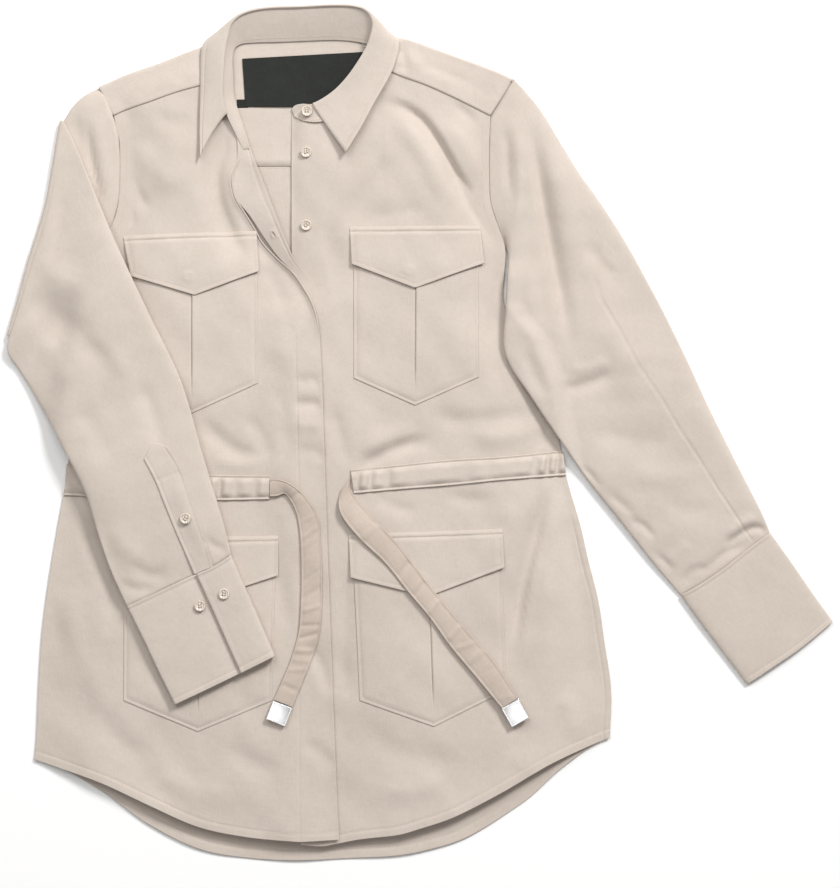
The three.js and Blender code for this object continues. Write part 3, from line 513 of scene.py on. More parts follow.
# The yoke's own folds: a small pleat beside each side of the collar and drags along the shoulders
YOKE_FOLDS = [
    ([(400, 40), (404, 54), (405, 66), (396, 71)], -2.6, 3, 4),
    ([(410, 44), (414, 58), (424, 68)], 1.4, 6, 6),
    ([(418, 62), (442, 70), (470, 80)], -1.5, 6, 6),
    ([(440, 62), (466, 72), (490, 80)], 1.1, 5, 6),
    ([(478, 84), (492, 92), (500, 90)], -1.2, 5, 5),
    ([(196, 62), (184, 72), (178, 86)], -1.3, 7, 7),
    ([(170, 68), (150, 78), (134, 92)], 0.9, 8, 8)]


def loft(d):
    """How full the fronts and what lies on them are: little at the shoulders, all from the chest down."""
    return LOFT * mix(SHOULDER_LOFT, 1.0, ease((d - SHOULDERS_END) / (CHEST_START - SHOULDERS_END)))


def neck_dip(x, d):
    """How far everything sinks towards the back at the open neck, where few layers lie on each other."""
    gap = distance(x, d, NECK_OPENING)[0]
    return NECK_SINK * (1 - ease((gap - NECK_NEAR) / NECK_FADE))


def fly_rise(x, d):
    """How far the top front is lifted by the strip and the left front's edge under it."""
    return FLY_RISE * ease((x - FLY_SIDE) / FLY_FADE) * ease((d - FLY_TOP) / FLY_FADE)


def front_height(x, d):
    """Height of the middle of a front: low at the sides, full and folded over the chest."""
    inside = np.minimum(x - side(d, 1), side(d, 2) - x)
    below = ease((d - ARMPIT) / ARMPIT_FADE)
    low = mix(SIDE_HIGH, SIDE_LOW, below)
    plain = mix(low, BODY_HIGH, ease(inside / 30)) + loft(d) * ease((inside - 8 - 10 * below) / 45)
    plain = plain - neck_dip(x, d)
    room = ease((inside + 2) / 20)
    folded = plain + room * (FOLD_DEPTH * fold_field(FRONT_FOLDS, x, d) + drift(x, d, 4, 0.8))
    floor = mix(low, FLOOR, ease((inside - 5) / 30))
    spare = folded - floor
    return floor + 0.5 * (spare + np.sqrt(spare ** 2 + 0.6)) - 0.1


yoke_strips = []
for back_x, shoulder, front in YOKE:
    end = (shoulder[0], shoulder[1] + 4) if shoulder else (front[0], front[1] + NECK_REACH)
    under = []
    for share in (0.0, 0.35, 0.7, 1.0):
        d = mix(YOKE_SEAM - 0.6, end[1], share)
        under.append((np.clip(mix(back_x, end[0], share), side(d, 1) + 0.3, side(d, 2) - 0.3), d, 0.0))
    if shoulder:
        over = [(*shoulder, k / 3) for k in range(4)]
        lapped = front[1] + LAP
        over += [(mix(shoulder[0], front[0], share), mix(shoulder[1] + 2, lapped, share), 1 + share)
                 for share in (0.3, 0.65, 1)]
    else:
        over = [(front[0], end[1] - (k + 1) * (1 + LAP / NECK_REACH), 0.0) for k in range(NECK_REACH)]
    yoke_strips.append([*under, *over])
yoke_net = np.array(yoke_strips).transpose(1, 0, 2)


def along_index(net, counts):
    """More rows between the rows of a net, on curves through them; counts gives the steps in each gap."""
    p = np.concatenate([[2 * net[0] - net[1]], net, [2 * net[-1] - net[-2]]])
    rows = []
    for k, count in enumerate(counts, 1):
        a, b, c, e = p[k - 1:k + 3]
        for t in np.linspace(0, 1, count, endpoint=False):
            rows.append(0.5 * (2 * b + (c - a) * t + (2 * a - 5 * b + 4 * c - e) * t**2
                               + (3 * b - a - 3 * c + e) * t**3))
    rows.append(p[-2])
    return np.array(rows)


yoke_net = along_index(yoke_net.transpose(1, 0, 2), [YOKE_STEPS] * (len(YOKE) - 1)).transpose(1, 0, 2)
row_places = np.concatenate([[0], np.cumsum([6, 5, 4, 3, 4, 4, 4, 5, 8, 10])])
every_row = np.arange(row_places[-1] + 1)
yoke_net = np.apply_along_axis(lambda places: np.interp(every_row, row_places, places), 0, yoke_net)
x, d, turn = yoke_net.transpose(2, 0, 1)
rolling = np.clip(turn, 0, 1) * math.pi
fold_d = np.where(turn <= 1, 0.6 + SHOULDER_ROLL * (1 - np.sin(rolling)) * (turn > 0.001), 0)
low = ON_TABLE + SHOULDER_ROLL * (1 - np.cos(rolling)) + 1.0 * (turn == 0) * ease((d - 150) / 12)
reach = ease((turn - 1.0) / 0.75)
full = np.maximum(front_height(x, d) + fold_field(YOKE_FOLDS, x, d) + 1.25, low)
z = np.where(turn > 1, mix(low, full, reach), low)
yoke = shell("yoke_panel", np.dstack([x, d + fold_d, z])[::-1])
sewn(yoke, "yoke")

# Wearer's right front, on top: cotton panel from the yoke seam to the hem. Its free edge is the fly, stitched
# down all its length, and turns back at the open neck.
TOP_FRONT_EDGE = [
    (230, 74.5), (231.5, 92), (236.5, 110), (242, 127), (244.8, 144), (242.6, 153), (236.2, 167),
    (232.6, 178), (233.8, 189.5), (236, 198), (244.5, 212), (254.5, 228), (262, 241.5), (276.4, 257.5),
    (293, 272.5), (304.5, 289), (311, 300), (316, 313), (319, 330), (322, 380), (324, 440), (328, 560),
    (333, 700), (337, 800), (339, 839)]
FLY_LINE = [
    (212, 80.5), (212, 96), (216, 116), (222, 132), (224, 146), (215, 162), (208, 178), (210, 192),
    (215, 208), (226, 228), (236, 250), (250, 268), (266, 284), (279, 300), (289, 316), (295, 334),
    (297.5, 356), (298.5, 400), (299, 480), (299, 600), (299.4, 720), (299.7, 800), (300, 841)]
LEFT_HEM = [(34, 760), (62, 769), (100, 782), (150, 805), (200, 827), (250, 837), (300, 841), (339, 839)]
top_left = smooth([(113.5, 115), (126, 109), (150, 101.2), (176, 91.8), (200, 85), (212, 80.5)])
hem_left = smooth(LEFT_HEM[:-1])
front_down = steps(740, 3.9, end=(0.25, 0.8, 1.8, 3.2, 5, 7, 8.2, 9, 9.8, 11.5, 14))
body = fill(top_left, hem_left, smooth([(113.5, 115), *side_points(1, 130, 760)]), smooth(FLY_LINE),
            steps(245, 4.3, end=(0.7, 1.6, 3.0)), front_down)
fly = fill(Cornered([(212, 80.5), (230, 74.5)]), Cornered([(300, 841), (339, 839)]), smooth(FLY_LINE),
           smooth(TOP_FRONT_EDGE), steps(30, 2.6, (0.7, 1.6, 3.0), (0.2, 0.6, 1.0, 1.5, 2.0, 2.6, 3.6, 5)),
           front_down)
top_places = np.concatenate([body[:, :-1], fly], axis=1)
# The turned edge at the neck: a hollow along it and the lip that stands up beside the hollow
NECK_HOLLOW = [([(237, 196), (245, 213), (256, 233), (268, 250), (283, 266), (297, 283), (307, 303),
                 (314, 330)],
                -2.2, 6, 10)]


def edge_of(points):
    line = smooth(points).line
    return lambda x, d: distance(x, d, line)[0]


top_edge_gap = edge_of(TOP_FRONT_EDGE)
left_hem_gap = edge_of(LEFT_HEM)


def top_front_height(x, d):
    gap = top_edge_gap(x, d)
    rise = fly_rise(x, d)
    open_neck = ease((d - 140) / 25) * ease((345 - d) / 50)
    lip = (2.4 * open_neck + 0.25) * np.exp(-(gap / 3.0) ** 2)
    lip = lip - 0.9 * open_neck * np.exp(-((gap - 1.5) / 0.5) ** 2)
    stitched = np.interp(d, (330, 480, 841), (296, 299, 300))
    line = ease((d - 330) / 30) * 0.35 * np.exp(-((x - stitched) / 0.9) ** 2)
    hem_gap = left_hem_gap(x, d)
    lift = 2.6 * np.exp(-((x - 150) / 60) ** 2) + 1.6 * np.exp(-((x - 318) / 16) ** 2)
    return (front_height(x, d) + rise + lip - line + fold_field(NECK_HOLLOW, x, d)
            + ease((d - 740) / 20) * (hem(hem_gap, 8.0) + lift * np.exp(-(hem_gap / 16) ** 2)))


top_front = panel("front_right_panel", top_places, top_front_height)
sewn(top_front, "front_right", rests_on=["back_panel", "front_left_panel"])

# Buttonhole strip of the fly: a doubled cotton strip behind the free edge. It shows at the open neck,
# where it lies turned towards the throat, and then runs hidden between the two fronts.
HOLE_X, HOLE_D = 273.8, 234.6
HOLE_RIGHT, HOLE_DOWN = 0.53, 0.85  # which way the buttonhole slants
strip_left = smooth([(230, 118), (235.5, 132), (237.5, 145), (237, 158), (232.8, 170), (231.6, 179),
                     (233, 190), (236.5, 199), (250.5, 216.5), (264, 237), (279, 257.5), (293, 272),
                     (300, 283), (303, 297), (304, 330), (304, 500), (304, 838)])
strip_right = smooth([(240.4, 117.5), (244.8, 131), (249.6, 147), (255.4, 163), (262.2, 180), (271.6, 205),
                      (280.4, 228), (288.6, 248), (295, 261), (304, 274), (310, 288), (314.5, 306),
                      (317, 330), (321, 440), (326, 600), (336, 838)])
strip_down = np.concatenate([np.linspace(0, 0.29, 165, endpoint=False), np.linspace(0.29, 1, 80)])
strip_across = steps(22, 0.9, start=(0.3, 0.9), end=(0.3, 0.9, 1.8))
strip = fill(Cornered([(230, 118), (240.4, 117.5)]), Cornered([(304, 838), (336, 838)]),
             strip_left, strip_right, strip_across, strip_down)
x, d = strip[..., 0], strip[..., 1]
shown = ease((285 - d) / 40)
tilt = shown * ease((d - 146) / 18) * (3.4 * strip_across[None, :] - 0.3)
# the buttonhole: a slanting slit with a raised, overcast rim
hole_along = (x - HOLE_X) * HOLE_RIGHT + (d - HOLE_D) * HOLE_DOWN
hole_across = (x - HOLE_X) * HOLE_DOWN - (d - HOLE_D) * HOLE_RIGHT
rim = 0.8 * np.exp(-(hole_along / 4.4) ** 4 - (hole_across / 2.4) ** 2)
slit = 2.2 * np.exp(-(hole_along / 2.8) ** 4 - (hole_across / 0.9) ** 2)
seam = 0.5 * np.exp(-((strip_across[None, :] - 0.84) * 22 / 1.0) ** 2) * shown
z = front_height(x, d) - fold_field(FRONT_FOLDS, x, d) * shown + LAYER + tilt + rim - slit - seam
fly_strip = shell("fly_strip_panel", np.dstack([strip, z]), thickness=1.1)
sewn(fly_strip, "fly_strip", rests_on=["front_left_panel"])

# Wearer's left front, below: the same cut. Its straight front edge carries the placket buttons.
RIGHT_HEM = [(301, 844), (320, 846), (339, 843), (360, 839), (400, 834), (420, 828), (450, 818), (500, 793),
             (550, 764), (590, 746), (610, 738)]
left_top = smooth([(291.5, 113.5), (303, 118), (318, 120), (335, 116), (351, 109.5), (368.5, 99), (381, 86),
                   (387, 70), (401, 75.6), (425, 84.4), (450, 95.4), (473, 106.4), (490, 115)])
left_side = smooth([(490, 115), *side_points(2, 130, 738)])
left_edge = smooth([(291.5, 113.5), (291.8, 260), (296, 500), (301, 844)])
left_across = steps(275, 4.0, end=(0.25, 0.8, 1.7, 2.9, 4.2, 5.2, 6.0, 6.8, 8, 10))
left_places = fill(left_top, smooth(RIGHT_HEM), left_edge, left_side, left_across, front_down)
right_hem_gap = edge_of(RIGHT_HEM)
side_gap = edge_of([*side_points(2, 500, 738)])


def left_front_height(x, d):
    hem_gap = right_hem_gap(x, d)
    lift = 2.8 * np.exp(-((x - 470) / 70) ** 2) * ease((d - 700) / 30)
    seam = ease((d - 500) / 40) * hem(side_gap(x, d), 6.0, 0.5, 0.6)
    under = 1 - ease((335 - x) / 20) * ease((d - 290) / 30)
    edge_low = 1.8 * np.exp(-((x - 291.5) / 8) ** 2) * ease((300 - d) / 30)
    return (front_height(x, d) - edge_low + seam + under * (ease((d - 700) / 30) * hem(hem_gap, 8.0)
            + lift * np.exp(-(hem_gap / 18) ** 2)))


left_front = panel("front_left_panel", left_places, left_front_height)
sewn(left_front, "front_left", rests_on=["back_panel"])

# Collar: a stand sewn to the neck and a fall that rolls over it to two pointed leaves, cotton with a
# stiffening inside. At each station round the neck: the neck seam, the roll, and the fall's free edge.
COLLAR_CLOTH = 1.3
COLLAR = [
    ((249.4, 148.8, 6.8), (243.6, 149.8, 7.2), None), ((244.6, 132, 6.4), (235, 132.5, 8.6), None),
    ((239, 114, 6.2), (226.6, 114, 11), (201, 158, 11.5)),
    ((233.6, 96, 6), (222.8, 97, 12.6), (200.5, 125, 10)),
    ((232.6, 76, 5.6), (223, 75, 13), (201, 92, 9.2)),
    ((231.8, 59, 4.6), (224.8, 53, 13.4), (201.5, 62, 8.6)),
    ((234, 48, 2.4), (227.4, 38, 13.5), (204, 43.5, 7)), ((241, 43, 1.5), (232, 24, 13.5), (217, 32, 2.4)),
    ((254, 41.6, 1.1), (244, 14.5, 13), (237, 20, 1.2)), ((276, 41, 1.1), (266, 9.2, 12.6), (266, 17, 1.2)),
    ((302, 40, 1.1), (301, 7.8, 12.6), (301, 16, 1.2)), ((330, 39, 1.1), (335, 6.2, 12.6), (335, 14, 1.2)),
    ((351, 40, 1.1), (356, 7.6, 13), (357, 15, 1.2)), ((366, 43, 2.2), (367.5, 13, 13.5), (376, 20, 1.6)),
    ((377, 48.5, 4.4), (373, 24, 13.5), (390.5, 33, 3)),
    ((383.4, 58, 5.8), (371, 37, 13), (398.5, 41, 6.8)),
    ((384.6, 70, 5.2), (365.5, 51, 11.4), (396.5, 57, 9)),
    ((379.6, 84, 5.2), (352, 72, 9.6), (389, 77, 11.6)),
    ((367.6, 98, 5.2), (338, 88, 8.2), (375, 102, 13.4)),
    ((350.4, 110, 5.3), (325, 98, 7.4), (360, 130, 14)),
    ((334.4, 118, 5.4), (313, 104, 7), (346, 153, 12.8)), ((318, 122, 5.5), (303, 103.8, 6.2), None),
    ((303.5, 120.5, 5.0), (295.5, 105, 5.2), None), ((294, 116, 3.7), (291.5, 108.5, 4.7), None)]
seams = np.array([row[0] for row in COLLAR], float)
rolls = np.array([row[1] for row in COLLAR], float)
for line, more in ((seams, 0.9), (rolls, 0.0)):
    line[:, 2] += more + loft(line[:, 1]) * ease((line[:, 1] - 45) / 12) - neck_dip(line[:, 0], line[:, 1])
FALL_FIRST, FALL_LAST = 2, 20  # the stations between which the stand carries the fall
STATION_STEPS = 7
station_steps = [STATION_STEPS] * (len(COLLAR) - 1)
seam_line = along_index(seams, station_steps)
roll_line = along_index(rolls, station_steps)
stand_shares = steps(34, 2.4, start=(0.4, 1.2), end=(0.4, 1.2))
swell = np.sin(stand_shares * math.pi)[:, None]
stand = mix(seam_line[None], roll_line[None], stand_shares[:, None, None])
stand[..., 2] += 0.5 * swell * np.sin(np.arange(stand.shape[1]) / 9.0)[None]
collar_stand = shell("collar_stand_band", stand, thickness=COLLAR_CLOTH)
sewn(collar_stand, "collar_stand")

edges = np.array([row[2] for row in COLLAR[FALL_FIRST:FALL_LAST + 1]], float)
edges[:, 2] += loft(edges[:, 1]) * ease((edges[:, 1] - 45) / 12)
edge_line = along_index(edges, station_steps[:len(edges) - 1])
first = FALL_FIRST * STATION_STEPS
roll_part = roll_line[first:first + len(edge_line)]
run = np.gradient(roll_part, axis=0)
outward = np.stack([run[:, 1], -run[:, 0], 0 * run[:, 0]], -1)
outward /= np.linalg.norm(outward, axis=1, keepdims=True)
UP = np.array([0, 0, 1.0])
# The leaves' points end straight on the left and nearly straight on the right
bow = 5.5 * (1 - ease(np.arange(len(edge_line)) / 10))[:, None]
lift_over = roll_part + 1.0 * UP - 0.5 * outward
# the right leaf rolls over more widely than the rest
wider = ease((np.arange(len(edge_line)) - 100) / 25)[:, None]
crown = roll_part + (1.0 + 1.6 * wider) * outward + (1.7 - 0.5 * wider) * UP
to_edge = edge_line - crown
control = crown + 0.42 * to_edge * np.array([1, 1, 0]) + outward * (1.2 + bow) - 0.2 * UP
t = np.linspace(0, 1, 40)[:, None, None]
fall = (1 - t) ** 2 * crown + 2 * t * (1 - t) * control + t ** 2 * edge_line
fall = np.concatenate([lift_over[None], mix(lift_over, crown, 0.5)[None] + 0.35 * UP, fall])
FALL_STITCH = 4.7
FALL_END = (0.25, 0.8, 1.7, 2.9, 3.9, FALL_STITCH, 5.5, 7)
fall_rows = []
for k in range(fall.shape[1]):
    line = Edge(fall[:, k])
    gaps_in = np.array(FALL_END) * min(1.0, line.length / 16)
    fall_rows.append(line(steps(line.length, 0, start=(0.6, 1.3), end=tuple(gaps_in), count=15)))
fall_rows = np.array(fall_rows).transpose(1, 0, 2)
stitch_row = -1 - FALL_END.index(FALL_STITCH) - 1
fall_rows[stitch_row, :, 2] -= 0.35
fall_rows[stitch_row + 1:-1, :, 2] += 0.15
collar_fall = shell("collar_fall_leaves", fall_rows, thickness=1.6)
sewn(collar_fall, "collar_fall")

# Neck label and size tab: dark woven ribbon, bare, stitched flat to the inside of the yoke.
ribbon = woven("label_ribbon", light=(0.023, 0.025, 0.022), dark=(0.012, 0.013, 0.011), pitch=0.0005,
               relief=0.0001, roughness=0.75, sheen=0.0)
LABELS = {
    "neck_label": ([(242, 58), (367, 51), (367, 106), (245, 106)], (0.124, 0.055)),
    "size_tab": ([(236.3, 98.8), (247.6, 98.6), (247.6, 106.8), (236.6, 107)], (0.0118, 0.010))}
LABEL_RISE = {"neck_label": 2.2, "size_tab": 1.6}
for name, ((nw, ne, se, sw), cut) in LABELS.items():
    across, down = [steps(length / MM, 2.5, (0.3, 1.0), (0.3, 1.0)) for length in cut]
    places = fill(Cornered([nw, ne]), Cornered([sw, se]), Cornered([nw, sw]), Cornered([ne, se]),
                  across, down)
    label = panel(name + "_ribbon", places,
                  lambda x, d: LABEL_RISE[name] + 0.35 * np.sin(x / 14) * ease((d - 60) / 40), thickness=0.6,
                  material=ribbon)
    sewn(label, name, rests_on=["yoke_panel"])

# Pockets: two on the chest and two larger ones below, patch pockets of cotton with a pleat down the middle
# and a pointed foot. Each has a pointed flap, sewn down along a narrow band and closed by a hidden snap.
POCKETS = {
    "chest_pocket_right": ([(128, 247), (192, 246), (257, 245)], [(128, 385), (192, 413), (258, 383)],
                           (0.13, 0.167)),
    "chest_pocket_left": ([(354, 241), (416, 241), (478, 240)], [(354, 378), (415, 405), (478.5, 377)],
                          (0.1245, 0.164)),
    "lower_pocket_right": ([(125, 551), (200, 550), (276, 549)], [(124, 700), (198, 731), (272, 700)],
                           (0.15, 0.18)),
    "lower_pocket_left": ([(353, 548), (428, 545), (501, 543)], [(360, 700), (434, 726), (506, 690)],
                          (0.148, 0.18))}
FLAPS = {
    "chest_flap_right": ([(123, 236), (189, 233.5), (256, 231)], [(131, 276), (195, 295), (259, 271)],
                         (0.133, 0.061)),
    "chest_flap_left": ([(350, 227), (415, 226.6), (480, 226)], [(352, 264), (415, 288), (484, 263)],
                        (0.13, 0.0615)),
    "lower_flap_right": ([(120, 538), (199, 537), (278, 536)], [(122, 577), (199, 601), (278, 575)],
                         (0.158, 0.065)),
    "lower_flap_left": ([(349, 534), (425, 532), (502, 529)], [(351, 577), (428, 596), (504, 567)],
                        (0.153, 0.065))}
POCKET_STEPS = (0.25, 0.8, 1.5, 2.2, 2.9, 3.8)
FLAP_BAND_WIDE = 5.0


def pleat_steps(wide):
    """Shares across a pocket, close together at its two edges and on both sides of the pleat."""
    half = steps(wide / 2, 3.2, POCKET_STEPS, (0.3, 0.6, 0.95, 1.4, 2.2, 3.4)) / 2
    return np.concatenate([half, 1 - half[:-1][::-1]])


def quad(top, bottom, across, down):
    return fill(Cornered(top), Cornered(bottom), Cornered([top[0], bottom[0]]), Cornered([top[2], bottom[2]]),
                across, down)


def outline_of(top, bottom):
    """The sides and foot of a pocket or flap, from its upper left corner round to its upper right."""
    return [top[0], bottom[0], bottom[1], bottom[2], top[2]]


def outline_gap(x, d, top, bottom):
    return distance(x, d, outline_of(top, bottom))[0]


def on_front(x, d):
    """The fronts' upper layer at a place, whichever of the two is on top there."""
    return front_height(x, d) + fly_rise(x, d) * (x < 320)


def pocket_face(top, bottom):
    """The height of a pocket's cloth at a place, with its turned edges and its pleat."""
    deep = bottom[1][1] - top[1][1]

    def height(x, d):
        gap = outline_gap(x, d, top, bottom)
        centre = mix(top[1][0], bottom[1][0], (d - top[1][1]) / deep)
        fade = 1 - ease((d - top[1][1] - deep * 0.72) / (deep * 0.2))
        off = x - centre
        crest = 1.3 * ease(off / 1.2 + 0.5) * np.exp(-np.maximum(off, 0) / 9)
        pleat = fade * (crest - 2.0 * np.exp(-(off / 0.75) ** 2))
        turned = hem(gap, 2.6, 0.15, 0.4)
        return on_front(x, d) + 0.75 + 0.75 * ease(gap / 7) + turned + pleat + 0.6 * ease(gap / 25)
    return height


def flap_face(top, bottom):
    """The height of a flap's cloth: its sewn band, its snap's print and its free foot."""
    deep = bottom[1][1] - top[1][1]
    snap_x, snap_d = bottom[1][0] - 6, bottom[1][1] - 18

    def height(x, d):
        from_top = distance(x, d, top)[0]
        foot_gap = outline_gap(x, d, top, bottom)
        free = ease((from_top - 6) / (deep - 22))
        snap = np.hypot(x - snap_x, d - snap_d)
        bump = 0.5 * ease((7.5 - snap) / 4.0) - 0.25 * ease((3.4 - snap) / 2.0)
        ridge = 0.6 * np.exp(-((from_top - 2.4) / 1.7) ** 2)
        band = ridge - 0.6 * np.exp(-((from_top - FLAP_BAND_WIDE) / 0.8) ** 2)
        turned = hem(foot_gap, 3.0, 0.15, 0.25) * ease(from_top / 8)
        side_gap = np.minimum(x - mix(top[0][0], bottom[0][0], 0.5), mix(top[2][0], bottom[2][0], 0.5) - x)
        sewn_down = 1.1 * (1 - ease(side_gap / 9)) * (1 - 0.5 * free)
        return on_front(x, d) + 1.4 + 1.6 * ease(from_top / 9) - sewn_down + band + turned + 1.3 * free + bump
    return height


for name, (top, bottom, cut) in POCKETS.items():
    wide, deep = top[2][0] - top[0][0], bottom[1][1] - top[1][1]
    places = quad(top, bottom, pleat_steps(wide), steps(deep, 3.2, (1.0,), POCKET_STEPS))
    pocket = panel(name + "_patch", places, pocket_face(top, bottom))
    rests = "front_right_panel" if name.endswith("right") else "front_left_panel"
    sewn(pocket, name, rests_on=[rests])
for name, (top, bottom, cut) in FLAPS.items():
    wide, deep = top[2][0] - top[0][0], bottom[1][1] - top[1][1]
    places = quad(top, bottom, steps(wide, 2.4, POCKET_STEPS, POCKET_STEPS),
                  steps(deep, 1.8, (0.3, 1.2, 2.6, 3.9, 4.6, 5.2, 6.0), POCKET_STEPS))
    flap = panel(name + "_cloth", places, flap_face(top, bottom))
    sewn(flap, name, rests_on=[name.replace("flap", "pocket") + "_patch"])

# Casings: a channel of cotton across each front at the waist, stitched along both edges and open at the front
# end, where the tie comes out. It is drawn up a little, so that it puckers.
CASING_RISE = LAYER + 0.2
CASINGS = {
    "casing_right": ([(66.5, 464), (140, 471), (208, 475), (269.5, 476)],
                     [(64, 495), (140, 499), (208, 500), (269.5, 499)], (0.205, 0.027), 0.00549),
    "casing_left": ([(351, 470), (400, 465), (450, 460), (500, 457), (562.5, 451)],
                    [(354, 493), (400, 489), (450, 485), (500, 480), (566, 475)], (0.213, 0.024), 0.00507)}
# Puckers of the casings: place along it, how deep, how wide
PUCKERS = {
    "casing_right": [(214, 1.0, 3), (221, -1.1, 3), (228, 0.7, 4), (236, -0.6, 5), (246, 0.5, 5),
                     (256, -0.7, 4), (263, 0.5, 3)],
    "casing_left": [(358, -0.7, 3), (364, 0.8, 3), (371, -0.9, 3), (377, 0.6, 4), (388, -0.7, 4),
                    (396, 0.5, 5), (415, -0.4, 7), (440, 0.5, 8), (466, -0.6, 7), (488, -0.4, 5),
                    (520, 0.5, 7), (533, -0.8, 4), (541, 1.0, 3), (546, -1.1, 2.5), (551, 0.9, 2.5),
                    (556, -1.0, 2.5), (561, 0.7, 3)]}


def casing_face(name):
    top, bottom = CASINGS[name][:2]

    def height(x, d):
        gap = np.minimum(distance(x, d, smooth(top).line)[0], distance(x, d, smooth(bottom).line)[0])
        ruck = sum(size * np.exp(-((x - place + 0.12 * (d - 480)) / wide) ** 2)
                   for place, size, wide in PUCKERS[name])
        belly = ease((gap - 1.8) / 5) * (1.5 + 1.9 * ruck)
        return on_front(x, d) + CASING_RISE + hem(gap, 1.7, 0.3, 0.5) + belly + 0.5 * ruck
    return height


for name, (top, bottom, cut, area) in CASINGS.items():
    down = steps(24, 1.6, (0.3, 0.9, 1.7, 2.4, 3.1), (0.3, 0.9, 1.7, 2.4, 3.1))
    places = fill(smooth(top), smooth(bottom), Cornered([top[0], bottom[0]]), Cornered([top[-1], bottom[-1]]),
                  steps(top[-1][0] - top[0][0], 1.5, (0.3, 0.9), (0.3, 0.9)), down)
    casing = panel(name + "_channel", places, casing_face(name))
    sewn(casing, name)

# Ties: flat cotton tape, folded double and edge-stitched, drawn through the casings. Each comes out of its
# casing's mouth, turns over and lies down along the front, softly creased.
tape = woven("tie_tape", light=(0.565, 0.480, 0.412), dark=(0.480, 0.400, 0.338), pitch=0.0005,
             relief=0.00012, roughness=0.8, sheen=0.1)
TIES = {
    "tie_right": (
        [(270.3, 480), (270.3, 496)], [(274.5, 699), (292.5, 706)],
        [(270.3, 496), (278, 495.5), (284.6, 493), (291, 500), (297, 513), (300, 529), (301.5, 548),
         (301.5, 600), (299, 632), (291, 660), (284, 677), (274.5, 699)],
        [(270.3, 480), (275, 479), (290.8, 484), (307.5, 499), (318, 517.5), (320.8, 545), (322, 570),
         (322, 600), (319, 635), (309.5, 664), (303, 680), (292.5, 706)],
        (0.021, 0.235), 0.0046, "front_right_panel"),
    "tie_left": (
        [(341, 490), (350, 478)], [(502, 707.5), (517, 697)],
        [(341, 490), (339, 503), (342, 515), (360, 538), (385, 562), (409, 592), (430, 617), (450, 645),
         (475, 675), (490, 693), (502, 707.5)],
        [(350, 478), (350.4, 489), (357, 500), (370, 515), (385, 530), (400, 547), (415, 567), (437, 595),
         (455, 617), (475, 640), (495, 663), (517, 697)],
        (0.021, 0.275), 0.0057, "front_left_panel")}


TIE_WIDE = 21
TIE_TURN, TIE_CURL = 20, 3.2  # how far along the tie turns over, and how far it stands up there
CREASE_GAPS, CREASE_COUNT = (9, 21), 24


def tie_height(name, x, d):
    if name == "tie_right":
        return front_height(x, d) + LAYER + 0.6 + fly_rise(x + 12, d)
    return front_height(x, d) + LAYER + 2.9 * ease((d - 500) / 32) + 1.6 * ease((d - 500) / 40)


for name, (start, end, left, right, cut, area, below) in TIES.items():
    length = cut[1] / MM
    across = steps(TIE_WIDE, 1.5, (0.3, 0.9, 1.7), (0.3, 0.9, 1.7))
    down = steps(length, 1.7, (0.4, 1.2), (0.4, 1.2))
    places = fill(Cornered(start), Cornered(end), smooth(left), smooth(right), across, down)
    x, d = places[..., 0], places[..., 1]
    rng = np.random.default_rng(11 + len(name))
    reach = down * length
    creases = np.zeros(x.shape)
    for place in np.cumsum(rng.uniform(*CREASE_GAPS, CREASE_COUNT)):
        lean = rng.uniform(-7, 7)
        wide = rng.uniform(1.3, 3.2)
        size = rng.uniform(-1.3, 1.1)
        where = place + lean * (across[None, :] - rng.uniform(0.1, 0.9))
        creases += size * np.exp(-((reach[:, None] - where) / wide) ** 2)
    edge = np.minimum(across, 1 - across)[None, :] * TIE_WIDE
    cup = 0.9 * (1 - (2 * across[None, :] - 1) ** 2)
    turned = across if name == "tie_right" else 1 - across
    z = tie_height(name, x, d) + creases * ease(edge / 3) + cup + hem(edge, 1.8, 0.2, 0.5)
    z += TIE_CURL * np.exp(-((reach[:, None] - TIE_TURN) / 11) ** 2) * turned[None, :]
    tie = shell(name + "_tape", np.dstack([places, z]), thickness=1.3, material=tape)
    sewn(tie, name, rests_on=[below])

# Sleeves: tubes of cotton sewn into the armholes and laid flat. The wearer's left one lies straight out; the
# other is folded over at the elbow, so that its forearm comes back across the front of the body.
# A station is a line across the sleeve, from one long edge to the other, and the gap between its two layers.
SLEEVE_LEFT = [
    ([(514.6, 78.5), (506, 88.5), (499.8, 101), (492, 116), (490.4, 145), (490.4, 180), (491.6, 200),
      (496, 215), (502, 230.5), (507.8, 248)], 1.4),
    ([(540, 110), (515, 175), (508.6, 262)], 7.2), ([(560, 143), (530, 210), (507, 285)], 8.4),
    ([(578, 172), (542, 240), (505.8, 312)], 8.6), ([(600, 203), (552, 272), (504, 345)], 8.6),
    ([(625, 242), (565, 308), (511, 367)], 8.4), ([(645, 278), (588, 338), (528, 392)], 8.2),
    ([(663, 312), (606, 368), (546, 419)], 8.0), ([(685, 357), (627, 405), (566, 448)], 7.8),
    ([(708, 407), (650, 447), (590, 482)], 7.4), ([(738, 467), (680, 497), (622, 522)], 6.8),
    ([(760, 510), (706, 537), (652, 560)], 5.8),
    ([(770.5, 534), (750, 549), (725, 569), (700, 586), (682.5, 596)], 3.2)]
